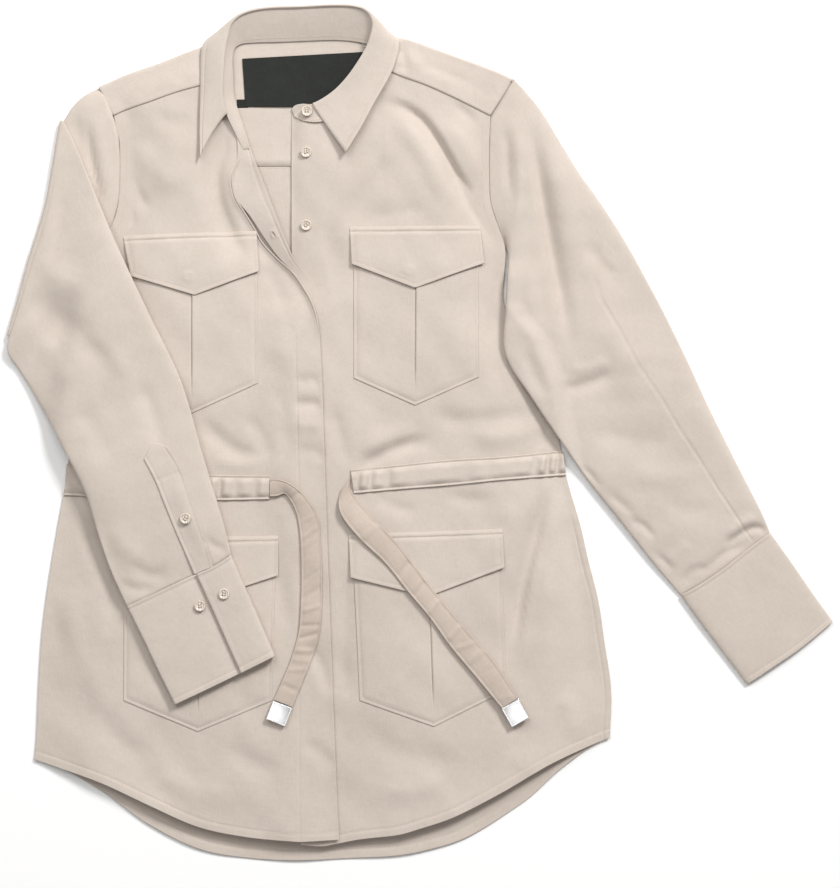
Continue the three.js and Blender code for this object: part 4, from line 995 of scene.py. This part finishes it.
SLEEVE_LEFT_FOLDS = [
    ([(514, 112), (518, 145), (520, 180), (518, 212), (510, 244)], 1.2, 4, 5),
    ([(505, 120), (508, 160), (509, 200)], -1.6, 4, 5),
    ([(529, 108), (535, 150), (540, 182), (546, 218), (554, 262), (562, 302), (568, 338), (573, 362)], -4.4,
     9, 6),
    ([(548, 140), (560, 190), (572, 240), (588, 296)], 1.6, 14, 14),
    ([(520, 250), (530, 300), (538, 352)], 1.3, 10, 12),
    ([(556, 389), (578, 386), (600, 379), (618, 368)], -1.9, 5, 8),
    ([(566, 372), (590, 368), (612, 360)], 1.1, 6, 6),
    ([(524, 345), (533, 372), (548, 402)], -1.5, 8, 8),
    ([(585, 240), (600, 262), (620, 282)], -1.0, 7, 7),
    ([(600, 320), (620, 352), (640, 376)], 1.0, 12, 12),
    ([(578, 466), (592, 477), (600, 489)], -1.4, 4, 5), ([(606, 494), (622, 504), (634, 516)], -1.2, 5, 5),
    ([(628, 520), (644, 526), (655, 540)], -1.3, 4, 5), ([(652, 556), (664, 560), (672, 572)], -1.0, 4, 4),
    ([(590, 430), (640, 442), (684, 440)], -1.2, 10, 12), ([(620, 468), (664, 478), (706, 470)], 1.0, 10, 12),
    ([(661, 500), (690, 510), (716, 505)], -0.9, 9, 9),
    ([(772, 536), (760, 528), (744, 532), (722, 549)], -2.0, 4, 4),
    ([(748, 543), (724, 555), (700, 576)], -1.4, 3, 4), ([(764, 517), (745, 523), (724, 540)], 1.3, 5, 5),
    ([(712, 566), (694, 572), (680, 588)], -1.2, 3, 4), ([(690, 540), (676, 556), (664, 566)], 0.9, 6, 6)]
SLEEVE_SEAM = [(596, 280), (600, 297), (610, 315), (622, 335), (640, 368), (660, 397), (680, 430), (700, 460),
               (715, 485), (730, 507), (745, 530), (752, 540)]
SLEEVE_DEPTH = 1.35  # all the folds of the sleeves are this much deeper than their tables say
SQUARENESS = 3.6  # how flat the tube lies between its two rounded long edges


SLEEVE_ON_BODY = 5.9  # how far its inner edge is lifted by the side of the body
CLIMB_WIDE = 22


def sleeve_left_rest(x, d):
    """What the straight sleeve lies on: the table, or below the armpit the side of the body."""
    inward = side(d, 2) + CLIMB_WIDE - x
    return ON_TABLE + SLEEVE_ON_BODY * ease(inward / CLIMB_WIDE) * ease((d - 256) / 26)


def ring_shares(over, under):
    """Shares across for one turn round a flat tube, closer at its long edges: over it, then back under it."""
    top = 0.5 - 0.5 * np.cos(np.linspace(0, math.pi, over))
    below = 0.5 - 0.5 * np.cos(np.linspace(0, math.pi, under))[::-1]
    shares = np.concatenate([top, below[1:-1]])
    above = np.concatenate([np.ones(over), -np.ones(under - 2)])
    return shares, above


def tube_lines(stations, shares, counts):
    """Places across at shares for many stations, on curves through the stations of a table."""
    lines = np.array([smooth(across)(shares) for across, _ in stations])
    gaps = np.array([gap for _, gap in stations])
    return along_index(lines, counts), along_index(gaps, counts)


def tube_rise(shares, above, gaps):
    rounding = (1 - np.abs(1 - 2 * shares) ** SQUARENESS).clip(0) ** (1 / SQUARENESS)
    return above[None] * rounding[None] * gaps[:, None] / 2, rounding[None]


ring, above = ring_shares(110, 30)
lines, gaps = tube_lines(SLEEVE_LEFT, ring, [11] * (len(SLEEVE_LEFT) - 1))
x, d = lines[..., 0], lines[..., 1]
up, rounding = tube_rise(ring, above, gaps)
z = sleeve_left_rest(x, d) + gaps[:, None] / 2 + up
seam_gap, seam_side, _ = distance(x, d, SLEEVE_SEAM)
ridge = 0.1 * np.exp(-((seam_gap - 2.2) / 1.6) ** 2) * (seam_side > 0) - 0.9 * np.exp(-(seam_gap / 0.9) ** 2)
on_top = (above[None] > 0) * ease((rounding - 0.3) / 0.6)
cap = ease(np.arange(len(lines)) / 7)[:, None]
x = x - LAP * (above[None] > 0) * (1 - ease(np.arange(len(lines)) / 3)[:, None])
z += on_top * cap * (SLEEVE_DEPTH * fold_field(SLEEVE_LEFT_FOLDS, x, d) + ridge + drift(x, d, 8, 0.8))
floor_z = sleeve_left_rest(x, d) + 1.35
z = np.where(above[None] > 0, np.maximum(z, np.minimum(floor_z, sleeve_left_rest(x, d) + gaps[:, None])), z)
sleeve_left = shell("sleeve_left_tube", np.dstack([x, d, z]), closed=True)
sewn(sleeve_left, "sleeve_left")

# Folded sleeve: the upper arm lies on the table as far as the fold, which runs down the viewer's left.
UPPER_ARM = [
    ([(96.6, 88.4), (102.4, 96), (107.4, 107), (111.4, 118), (115.6, 132), (117.4, 150), (117.4, 180),
      (116.2, 200), (112.6, 216), (107.4, 231.6)], 1.4),
    ([(84, 95.5), (88, 170), (76, 264)], 3.0), ([(73, 105.5), (68, 180), (45, 299)], 3.0)]
FOLD_AXIS = [(63, 121), (56, 166), (48, 209), (31, 264), (20, 304), (10, 336)]
FOLD_GAP = 3.0
FOLD_INNER = 1.1
FOREARM = [
    ([(75, 145), (46, 238), (8, 352)], 4.2), ([(100, 205), (66, 290), (22, 374)], 6.4),
    ([(125, 262), (88, 336), (42, 407)], 7.6), ([(150, 315), (110, 384), (64, 446)], 7.8),
    ([(181, 380), (137, 440), (87, 492)], 7.4), ([(203, 454), (152, 500), (100, 534)], 6.6),
    ([(222, 517), (167, 550), (112, 569)], 5.4),
    ([(231.6, 555), (215, 566), (196.5, 574), (175, 584), (150, 596), (128.5, 606)], 3.2)]
FOREARM_FOLDS = [
    ([(16, 296), (44, 308), (70, 326), (96, 350), (124, 378)], -2.6, 15, 16),
    ([(36, 262), (62, 278), (92, 300)], 1.3, 12, 12),
    ([(86, 330), (110, 350), (134, 384)], 1.2, 9, 9),
    ([(30, 330), (52, 352), (72, 392)], 1.1, 10, 12),
    ([(140, 380), (156, 420), (160, 452)], -1.3, 8, 8),
    ([(74, 404), (98, 432), (112, 470)], -1.0, 10, 10),
    ([(60, 190), (58, 230), (46, 266)], -1.0, 8, 8),
    ([(110, 520), (126, 548), (150, 566)], 1.1, 10, 10),
    ([(130, 560), (150, 574), (172, 572)], -1.4, 6, 7),
    ([(118, 582), (136, 588), (158, 586)], -1.1, 4, 5),
    ([(172, 470), (184, 500), (198, 534), (204, 560)], 0.9, 8, 8),
    ([(205, 536), (216, 546), (230, 548)], -1.3, 4, 4)]
CAP_FOLDS = [
    ([(82, 120), (87, 130), (90, 150), (95, 175), (103, 214)], -3.4, 3.4, 5),
    ([(70, 112), (78, 130), (84, 160), (92, 190)], -1.6, 5, 6),
    ([(97, 112), (101, 140), (105, 172), (109, 205)], 0.9, 5, 5)]
FOREARM_ON_ARM = ON_TABLE + FOLD_GAP + 2 * FOLD_INNER
FOREARM_ON_BODY = 15.4  # over the front, the pocket, its flap and the tie
UNDERARM_X, UNDERARM_D, UNDERARM_SLOPE = 109, 231, 1.02  # the lower edge of the upper arm
DROP_MARGIN = 8


def forearm_rest(x, d):
    """What the forearm lies on: the upper arm, the body, or the table beyond both."""
    edge = side(d, 1)
    rise = ease((x - edge + 55) / 60)
    below = d - UNDERARM_D - (UNDERARM_X - x) * UNDERARM_SLOPE
    drop = ease((below - DROP_MARGIN) / 40) * ease((edge - DROP_MARGIN - x) / 25)
    return FOREARM_ON_ARM + (FOREARM_ON_BODY - FOREARM_ON_ARM) * rise - (FOREARM_ON_ARM - ON_TABLE) * drop


ring, above = ring_shares(58, 26)
axis_line = np.array([smooth(FOLD_AXIS)(ring)])
arm_lines = np.concatenate([np.array([smooth(across)(ring) for across, _ in UPPER_ARM]), axis_line])
arm_gaps = np.array([*[gap for _, gap in UPPER_ARM], FOLD_GAP])
arm_lines, arm_gaps = along_index(arm_lines, [8, 8, 6]), along_index(arm_gaps, [8, 8, 6])
x, d = arm_lines[..., 0], arm_lines[..., 1]
up, rounding = tube_rise(ring, above, arm_gaps)
top_side = (above[None] < 0) * ease((rounding - 0.3) / 0.6)
z = ON_TABLE + arm_gaps[:, None] / 2 - up
towards_seam = ease((18 - np.arange(len(arm_lines))) / 18)[:, None]
x = x + LAP * (above[None] < 0) * (1 - ease(np.arange(len(arm_lines)) / 3)[:, None])
z += top_side * (SLEEVE_DEPTH * fold_field(CAP_FOLDS, x, d) + 2.0 + 1.8 * towards_seam)
arm_rows = np.dstack([x, d, np.maximum(z, ON_TABLE + (above[None] < 0) * rounding * 1.3)])

axis_from, axis_to = axis_line[0][0], axis_line[0][len(np.flatnonzero(above > 0)) - 1]
axis_run = (axis_to - axis_from) / np.linalg.norm(axis_to - axis_from)
fold_out = np.array([-axis_run[1], axis_run[0]])
fold_up, _ = tube_rise(ring, above, np.array([FOLD_GAP]))
fold_rows = []
for turn in np.linspace(0, math.pi, 15)[1:]:
    reach = FOLD_INNER + FOLD_GAP / 2 + fold_up[0]
    places = axis_line[0] + fold_out * (reach * math.sin(turn))[:, None]
    fold_rows.append(np.column_stack([places, ON_TABLE + FOLD_GAP + FOLD_INNER - reach * math.cos(turn)]))

fore_lines = np.concatenate([axis_line, np.array([smooth(across)(ring) for across, _ in FOREARM])])
fore_gaps = np.array([FOLD_GAP, *[gap for _, gap in FOREARM]])
fore_counts = [9, 15, 14, 14, 16, 16, 15, 10]
fore_lines, fore_gaps = along_index(fore_lines, fore_counts)[1:], along_index(fore_gaps, fore_counts)[1:]
x, d = fore_lines[..., 0], fore_lines[..., 1]
up, rounding = tube_rise(ring, above, fore_gaps)
on_top = (above[None] > 0) * ease((rounding - 0.3) / 0.6)
start = ease(np.arange(len(fore_lines)) / 14)[:, None]
z = forearm_rest(x, d) + fore_gaps[:, None] / 2 + up
z += on_top * start * (SLEEVE_DEPTH * fold_field(FOREARM_FOLDS, x, d) + drift(x, d, 21, 0.7))
z = np.where(above[None] > 0, np.maximum(z, forearm_rest(x, d) + 1.4 * rounding), z)
forearm_rows = np.dstack([x, d, z])
sleeve_right = shell("sleeve_right_tube", np.concatenate([arm_rows, np.array(fold_rows), forearm_rows]),
                     closed=True)
sewn(sleeve_right, "sleeve_right")

# Cuffs: doubled cotton bands sewn to the sleeves' ends. The straight one shows plain; the folded sleeve's is
# lapped and buttoned on top, over a second button on the under end.
CUFF_DEEP = 100
CUFF_LEFT = [
    ([(770.2, 533.4), (749.5, 548.3), (724.5, 568.3), (699.5, 585.3), (682.1, 595.4)], 5.2),
    ([(792, 564), (749, 600), (704, 626)], 5.0), ([(812, 593), (771, 628), (726, 655)], 4.4),
    ([(833, 622), (800, 649), (775, 666), (748, 684)], 3.6)]
ring, above = ring_shares(56, 26)
cuff_lines = np.array([smooth(across)(ring) for across, _ in CUFF_LEFT])
cuff_shares = steps(CUFF_DEEP, 2.6, (0.3, 0.9, 1.8, 2.6, 3.4), (0.3, 0.9, 1.8, 2.9, 3.8, 4.6, 5.4, 6.4))


def at_shares(stations, shares):
    """Rows at shares of a table's stations, on curves through them."""
    dense = along_index(stations, [20] * (len(stations) - 1))
    place = shares * (len(dense) - 1)
    low = np.floor(place).astype(int).clip(0, len(dense) - 2)
    part = (place - low).reshape(-1, *[1] * (stations.ndim - 1))
    return mix(dense[low], dense[low + 1], part)


cuff_lines = at_shares(cuff_lines, cuff_shares)
cuff_gaps = at_shares(np.array([gap for _, gap in CUFF_LEFT]), cuff_shares)
x, d = cuff_lines[..., 0], cuff_lines[..., 1]
up, rounding = tube_rise(ring, above, cuff_gaps)
# Both cuffs are stitched near the sleeve and round their free end
band = hem(cuff_shares * CUFF_DEEP, 2.6, 0.3, 0.4) + hem((1 - cuff_shares) * CUFF_DEEP, 4.6, 0.25, 0.35)
z = sleeve_left_rest(x, d) + 0.3 + cuff_gaps[:, None] / 2 + up
z += (above[None] > 0) * ease((rounding - 0.3) / 0.6) * (band[:, None] + drift(x, d, 31, 0.35) + 0.4)
cuff_left = shell("cuff_left_band", np.dstack([x, d, z]), thickness=1.5, closed=True)
sewn(cuff_left, "cuff_left")

CUFF_RIGHT = [
    [(231.6, 555.2), (215.0, 566.1), (196.4, 574.1), (175.0, 584.1), (150.0, 596.1), (128.6, 606.0)],
    [(246, 588), (213, 607), (180, 624), (145, 639)],
    [(260, 620), (227, 638), (195, 655), (160, 671)],
    [(275, 655), (243, 671), (210, 687), (176, 703)]]
# The band's path round: share of the line across, distance along it from there, height above what it lies on
CUFF_PATH = [
    (0.16, 0, 2.6), (0.34, 0, 3.0), (0.5, 0, 4.7), (0.7, 0, 5.0), (0.88, 0, 4.8), (1, -1.6, 4.2),
    (1, -0.45, 3.2), (1, 0, 1.7), (1, -0.45, 0.45), (1, -1.6, 0), (0.8, 0, 0), (0.6, 0, 0), (0.4, 0, 0),
    (0.2, 0, 0), (0, 2, 0), (0, 0.6, 0.6), (0, 0, 2.5), (0, 0.6, 4.6), (0, 2, 5.9), (0.12, 0, 6.6),
    (0.24, 0, 6.6), (0.335, 0, 6.2)]
path = np.array(CUFF_PATH, float)
path_counts = [3, 6, 7, 7, 6, 3, 2, 2, 2, 3, 6, 6, 6, 6, 3, 2, 2, 2, 3, 7, 8]
cuff_stations = []
for across in CUFF_RIGHT:
    line = smooth(across)
    shares = path[:, 0] + path[:, 1] / np.linalg.norm(line(1.0) - line(0.0))
    cuff_stations.append(np.column_stack([line(shares), path[:, 2]]))
cuff_stations = np.array(cuff_stations).transpose(1, 0, 2)
lap = along_index(cuff_stations, path_counts)
lap_edge = np.abs(np.arange(len(lap)) - (len(lap) - 1))[:, None] * 1.6
lap = at_shares(lap.transpose(1, 0, 2), cuff_shares)
x, d, lift = lap.transpose(2, 0, 1)
upper = ease((lift - 1.6) / 1.2)
lap_hem = hem(lap_edge.T, 5.5, 0.2, 0.3)
z = forearm_rest(x, d) + lift + upper * (band[:, None] + drift(x, d, 33, 0.25) + lap_hem)
cuff_right = shell("cuff_right_band", np.dstack([x, d, z])[:, ::-1], thickness=1.5)
sewn(cuff_right, "cuff_right")

# Sleeve placket: a pointed strip of doubled cotton over the slit of the folded sleeve, sewn down along its
# edges and across below its point.
placket_left = smooth([(146, 459), (157, 480), (165, 500), (177, 530), (190, 560), (195.6, 573.4)])
placket_right = smooth([(170, 448), (182, 468), (190, 490), (197, 512), (204, 532), (213.6, 566)])
placket_top = smooth([(146, 459), (153, 446.5), (159, 443.5), (170, 448)])
placket_foot = Cornered([(195.6, 573.4), (213.6, 566)])
placket = fill(placket_top, placket_foot, placket_left, placket_right,
               steps(25, 1.6, POCKET_STEPS, POCKET_STEPS), steps(125, 1.8))
x, d = placket[..., 0], placket[..., 1]


def forearm_top(x, d):
    """Height of the upper layer of the folded sleeve's forearm."""
    return (forearm_rest(x, d) + np.interp(d, (440, 500, 560, 600), (7.4, 6.8, 5.2, 3.4))
            + SLEEVE_DEPTH * fold_field(FOREARM_FOLDS, x, d) + drift(x, d, 21, 0.7))


placket_gap = np.minimum(distance(x, d, placket_left.line)[0], distance(x, d, placket_right.line)[0])
cross = 0.6 * np.exp(-(distance(x, d, [(159, 480), (180, 472)])[0] / 1.1) ** 2)
z = forearm_top(x, d) + 1.0 + hem(placket_gap, 2.6, 0.15, 0.3) - cross
placket_piece = shell("sleeve_placket_strip", np.dstack([placket, z]))
sewn(placket_piece, "sleeve_placket", rests_on=["sleeve_right_tube"])

# Metal ends: a flat clamp of polished metal closed over the cut end of each tie, its edges softly rounded,
# with a pressed lip where the tape goes in.
CLAMP_THICK = 3.0
FACING = 0.9  # how nearly a face has to point in a direction to be picked for it
polished, shade = new_material("polished_metal")
spot = shade.node("ShaderNodeTexCoord", out=3)
grain = shade.node("ShaderNodeTexNoise", Vector=spot, Scale=420.0, Detail=3.0)
colour = grain.ramp(0.3, (0.86, 0.86, 0.87), 0.7, (0.97, 0.97, 0.97))
finish_material(shade, Base_Color=colour, Metallic=1.0, Roughness=0.2 + grain * 0.1,
                Normal=shade.node("ShaderNodeBump", Height=grain, Strength=0.05, Distance=0.0001))
TIE_ENDS = {
    "tie_end_right": ([(273.6, 699.6), (292.6, 707), (285.4, 726), (266.4, 717.6)], "tie_right"),
    "tie_end_left": ([(501.6, 708.4), (517.8, 697.6), (529, 716), (511.4, 727)], "tie_left")}


def active_only(piece):
    bpy.ops.object.select_all(action="DESELECT")
    piece.select_set(True)
    bpy.context.view_layer.objects.active = piece


def faces_facing(piece, direction):
    """Selects, in edit mode, the faces that point in a direction."""
    bpy.ops.object.mode_set(mode="OBJECT")
    for part in (piece.data.vertices, piece.data.edges):
        part.foreach_set("select", np.zeros(len(part), bool))
    for face in piece.data.polygons:
        face.select = face.normal.dot(Vector(direction)) > FACING
    bpy.ops.object.mode_set(mode="EDIT")


for name, (corners, tie) in TIE_ENDS.items():
    corners = np.array(corners)
    centre = corners.mean(0)
    top_mid, foot_mid = (corners[0] + corners[1]) / 2, (corners[2] + corners[3]) / 2
    tall = np.linalg.norm(foot_mid - top_mid)
    wide = np.linalg.norm(corners[1] - corners[0])
    bpy.ops.object.select_all(action="DESELECT")
    block = (wide * MM, tall * MM, CLAMP_THICK * MM)
    bpy.ops.mesh.primitive_cube_add(size=1.0, location=(0, 0, 0), scale=block)
    clamp = bpy.context.object
    clamp.name = name + "_clamp"
    bpy.ops.object.transform_apply(location=True, rotation=True, scale=True)
    faces_facing(clamp, (0, 0, 1))
    bpy.ops.mesh.inset(thickness=1.3 * MM, depth=-0.25 * MM)
    faces_facing(clamp, (0, 1, 0))
    bpy.ops.mesh.inset(thickness=0.7 * MM)
    bpy.ops.transform.translate(value=(0, -0.8 * MM, 0))
    bpy.ops.object.mode_set(mode="OBJECT")
    bevel = clamp.modifiers.new("rounded", "BEVEL")
    bevel.width = 0.35 * MM
    bevel.segments = 3
    bevel.limit_method = "ANGLE"
    bpy.ops.object.modifier_apply(modifier="rounded")
    clamp.rotation_euler[2] = math.atan2(foot_mid[0] - top_mid[0], foot_mid[1] - top_mid[1])
    rest = float(tie_height(tie, np.array([centre[0]]), np.array([centre[1]]))[0])
    clamp.location = ((centre[0] - ORIGIN_X) * MM, (ORIGIN_D - centre[1]) * MM, (rest + 0.9) * MM)
    bpy.ops.object.transform_apply(location=True, rotation=True, scale=True)
    bpy.ops.object.shade_smooth_by_angle(angle=math.radians(35))
    clamp.data.materials.append(polished)
    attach(clamp, "root")
    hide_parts(name)

# Buttons: four-hole discs with a raised rim and a dished face, turned from pearly shell and sewn on with
# thread.
BUTTON_RADIUS = 5.3
BUTTON_THICK = 2.2
HOLE_RADIUS = 0.75
HOLE_OFF = 1.25
pearl, shade = new_material("pearl_shell")
spot = shade.node("ShaderNodeTexCoord", out=3)
cloudy = shade.node("ShaderNodeTexNoise", Vector=spot, Scale=260.0, Detail=4.0, Distortion=1.4)
bands = shade.node("ShaderNodeTexWave", Vector=spot, Scale=120.0, Distortion=6.0, Detail=2.0)
colour = (cloudy * 0.7 + bands * 0.3).ramp(0.25, (0.50, 0.42, 0.34), 0.75, (0.78, 0.71, 0.62))
finish_material(shade, Base_Color=colour, Roughness=0.18 + cloudy * 0.2, Coat_Weight=0.6, Coat_Roughness=0.12,
                Normal=shade.node("ShaderNodeBump", Height=cloudy, Strength=0.1, Distance=0.0002))
thread_dye, shade = new_material("sewing_thread")
spot = shade.node("ShaderNodeTexCoord", out=3)
fuzz = shade.node("ShaderNodeTexNoise", Vector=spot, Scale=2200.0, Detail=2.0)
colour = fuzz.ramp(0.3, (0.50, 0.41, 0.335), 0.7, (0.62, 0.52, 0.43))
finish_material(shade, Base_Color=colour, Roughness=0.75,
                Normal=shade.node("ShaderNodeBump", Height=fuzz, Strength=0.4, Distance=0.0001))


def height_at(function, x, d):
    return float(function(np.array([float(x)]), np.array([float(d)]))[0])


on_cuff = height_at(forearm_rest, 225, 593) + 6.6 + 1.0
BUTTONS = {
    "button_stand": (307, 111, 8.6), "button_upper": (306, 152, height_at(front_height, 306, 152) + 0.8),
    "button_lower": (306, 225, height_at(front_height, 306, 225) + 0.8),
    "button_sleeve": (187, 518, height_at(forearm_top, 187, 518) + 2.3),
    "button_cuff": (225, 593, on_cuff), "button_under_cuff": (201, 605, on_cuff - 1.7)}
bpy.ops.object.select_all(action="DESELECT")
bpy.ops.mesh.primitive_cylinder_add(vertices=48, radius=BUTTON_RADIUS * MM, depth=BUTTON_THICK * MM)
blank = bpy.context.object
faces_facing(blank, (0, 0, 1))
bpy.ops.mesh.inset(thickness=1.3 * MM)
bpy.ops.mesh.inset(thickness=0.5 * MM, depth=-0.7 * MM)
faces_facing(blank, (0, 0, -1))
bpy.ops.mesh.inset(thickness=1.0 * MM, depth=0.0)
bpy.ops.transform.translate(value=(0, 0, -0.2 * MM))
bpy.ops.object.mode_set(mode="OBJECT")
bevel = blank.modifiers.new("rounded", "BEVEL")
bevel.width = 0.4 * MM
bevel.segments = 3
bevel.limit_method = "ANGLE"
bpy.ops.object.modifier_apply(modifier="rounded")
hole_reach = HOLE_OFF * math.sqrt(2) * MM
for k in range(4):
    angle = math.pi / 4 + k * math.pi / 2
    hole_place = (hole_reach * math.cos(angle), hole_reach * math.sin(angle), 0)
    bpy.ops.object.select_all(action="DESELECT")
    bpy.ops.mesh.primitive_cylinder_add(vertices=16, radius=HOLE_RADIUS * MM, depth=6 * MM,
                                        location=hole_place)
    drill = bpy.context.object
    active_only(blank)
    cut = blank.modifiers.new("hole", "BOOLEAN")
    cut.object = drill
    cut.solver = "EXACT"
    bpy.ops.object.modifier_apply(modifier="hole")
    bpy.data.objects.remove(drill)
blank.data.materials.clear()
blank.data.materials.append(pearl)
# The thread: two bars across the dished face, each between a pair of holes
bars = []
for sign in (-1, 1):
    bpy.ops.object.select_all(action="DESELECT")
    bpy.ops.mesh.primitive_torus_add(major_segments=24, minor_segments=8, major_radius=HOLE_OFF * MM,
                                     minor_radius=0.42 * MM, location=(sign * HOLE_OFF * MM, 0, -0.35 * MM),
                                     rotation=(0, math.pi / 2, 0))
    bars.append(bpy.context.object)
    bpy.ops.object.transform_apply(location=True, rotation=True, scale=True)
bars[0].select_set(True)
bpy.context.view_layer.objects.active = bars[0]
bpy.ops.object.join()
thread_blank = bars[0]
thread_blank.data.materials.append(thread_dye)
for number, (name, (x, d, z)) in enumerate(BUTTONS.items()):
    place = Vector(((x - ORIGIN_X) * MM, (ORIGIN_D - d) * MM, (z + BUTTON_THICK / 2) * MM))
    button = bpy.data.objects.new(name + "_disc", blank.data.copy())
    sewing = bpy.data.objects.new(name + "_thread", thread_blank.data.copy())
    for piece, finish in ((button, "pearl_button"), (sewing, "twill_tape")):
        bpy.context.collection.objects.link(piece)
        active_only(piece)
        piece.rotation_euler[2] = 0.35 * number
        piece.location = place
        bpy.ops.object.transform_apply(location=True, rotation=True, scale=True)
        bpy.ops.object.shade_smooth_by_angle(angle=math.radians(40))
        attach(piece, "root")
    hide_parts(name)
bpy.data.objects.remove(blank)
bpy.data.objects.remove(thread_blank)

# Topstitching: cotton thread along the seams, hems, pockets and collar, one short stitch after another,
# each a little spindle that sinks into the cloth at its two ends.
STITCH_LONG = 2.1
STITCH_PITCH = 2.7
STITCH_WIDE = 0.42
HOLE_STITCHES = (3.9, 1.7)  # half the length and width of the oval of stitches round the buttonhole


def offset_line(points, away):
    """The line that runs beside another, away to the right of its run."""
    line = np.array(points, float)
    run = np.gradient(line, axis=0)
    run /= np.maximum(np.linalg.norm(run, axis=1, keepdims=True), 1e-9)
    return line + np.stack([-run[:, 1], run[:, 0]], -1) * away


def inset_corners(points, away):
    """A cornered line moved inward, each stretch by the same distance, and met again at its corners."""
    p = np.array(points, float)
    run = np.diff(p, axis=0)
    run /= np.linalg.norm(run, axis=1, keepdims=True)
    side_way = np.stack([-run[:, 1], run[:, 0]], -1) * away
    moved = [p[0] + side_way[0]]
    for k in range(1, len(p) - 1):
        cross = run[k - 1][0] * run[k][1] - run[k - 1][1] * run[k][0]
        gap = side_way[k] - side_way[k - 1]
        share = (gap[0] * run[k][1] - gap[1] * run[k][0]) / cross if abs(cross) > 0.01 else 0.0
        moved.append(p[k] + side_way[k - 1] + run[k - 1] * share)
    moved.append(p[-1] + side_way[-1])
    return np.array(moved)


def stitches(name, lines):
    """Stitches along lines, each given with the function that says how high the cloth's face is there."""
    points, faces = [], []
    shape = np.array([(-1.0, 0, -0.15), (-0.4, 0.5, 0), (-0.4, 0, 0.5), (-0.4, -0.5, 0),
                      (0.4, 0.5, 0), (0.4, 0, 0.5), (0.4, -0.5, 0), (1.0, 0, -0.15)])
    sides = [(0, 1, 2, 2), (0, 2, 3, 3), (1, 4, 5, 2), (2, 5, 6, 3), (4, 7, 5, 5), (5, 7, 6, 6), (0, 3, 1, 1),
             (3, 6, 4, 1), (6, 7, 4, 4)]
    for line, height in lines:
        edge = Edge(line)
        count = int(edge.length // STITCH_PITCH)
        if count < 2:
            continue
        where = (np.arange(count) + 0.5) * STITCH_PITCH / edge.length
        middle = edge(where)
        near = 0.5 / edge.length
        ahead = edge(np.minimum(where + near, 1)) - edge(np.maximum(where - near, 0))
        ahead /= np.maximum(np.linalg.norm(ahead, axis=1, keepdims=True), 1e-9)
        if edge.line.shape[1] == 3:
            z = middle[:, 2]
        else:
            z = height(middle[:, 0], middle[:, 1])
        for (mx, md), (ax, ad), mz in zip(middle[:, :2], ahead[:, :2], z):
            base = len(points)
            for along, off, rise in shape:
                reach, away = along * STITCH_LONG / 2, off * STITCH_WIDE * 2
                points.append((mx + ax * reach - ad * away, md + ad * reach + ax * away, mz + rise * 0.6))
            faces += [tuple(dict.fromkeys(base + k for k in face)) for face in sides]
    p = np.array(points)
    p = np.column_stack([p[:, 0] - ORIGIN_X, ORIGIN_D - p[:, 1], p[:, 2]]) * MM
    mesh = bpy.data.meshes.new(name)
    mesh.from_pydata(p, [], faces)
    mesh.materials.append(thread_dye)
    piece = bpy.data.objects.new(name, mesh)
    bpy.context.collection.objects.link(piece)
    active_only(piece)
    bpy.ops.object.mode_set(mode="EDIT")
    bpy.ops.mesh.select_all(action="SELECT")
    bpy.ops.mesh.normals_make_consistent(inside=False)
    bpy.ops.object.mode_set(mode="OBJECT")
    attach(piece, "root")
    return piece


def face_of(function, above=CLOTH / 2):
    return lambda x, d: function(x, d) + above - 0.05


hem_lines = [
    (offset_line(hem_line.line, -9.0), face_of(back_height)),
    (offset_line(smooth(LEFT_HEM).line, -8.0), face_of(top_front_height)),
    (offset_line(smooth(RIGHT_HEM).line, -8.0), face_of(left_front_height)),
    ([(296, 345), (299, 400), (299, 600), (300, 838)], face_of(top_front_height))]
stitches("hem_stitching", hem_lines)
pocket_lines = []
for top, bottom, _ in POCKETS.values():
    pocket_lines.append((inset_corners(outline_of(top, bottom), -2.6), face_of(pocket_face(top, bottom))))
for top, bottom, _ in FLAPS.values():
    face = face_of(flap_face(top, bottom))
    pocket_lines.append((inset_corners(outline_of(top, bottom), -3.0), face))
    pocket_lines.append((inset_corners(top, 5.0), face))
stitches("pocket_stitching", pocket_lines)
casing_lines = []
for name, (top, bottom, _, _) in CASINGS.items():
    casing_lines.append((offset_line(smooth(top).line, 1.7), face_of(casing_face(name))))
    casing_lines.append((offset_line(smooth(bottom).line, -1.7), face_of(casing_face(name))))
stitches("casing_stitching", casing_lines)
seam_lines = []
for which, across in ((1, 7.0), (2, -7.0)):
    armhole = np.array(side_points(which, 122, 240))
    seam_lines.append((armhole + (across, 0), face_of(front_height)))
for strips in (YOKE[YOKE_LEFT], YOKE[YOKE_RIGHT]):
    front_seam = smooth([front for _, _, front in strips]).line + (0, LAP - 1.5)
    seam_lines.append((front_seam, lambda x, d: front_height(x, d) + fold_field(YOKE_FOLDS, x, d) + 1.85))
seam_lines.append(([(248, 167.3), (298, 167.3)], face_of(back_height)))
turns = np.linspace(0, math.tau, 24)
half_long, half_wide = HOLE_STITCHES[0] * np.cos(turns), HOLE_STITCHES[1] * np.sin(turns)
round_hole = np.column_stack([HOLE_X + HOLE_RIGHT * half_long + HOLE_DOWN * half_wide,
                              HOLE_D + HOLE_DOWN * half_long - HOLE_RIGHT * half_wide])
seam_lines.append((round_hole, lambda x, d: front_height(x, d) + LAYER + 3.2))
stitches("seam_stitching", seam_lines)
collar_stitch = fall_rows[stitch_row] + (0, 0, 0.8)
stitches("collar_stitching", [(collar_stitch, None), (stand[3] + (0, 0, 0.7), None)])
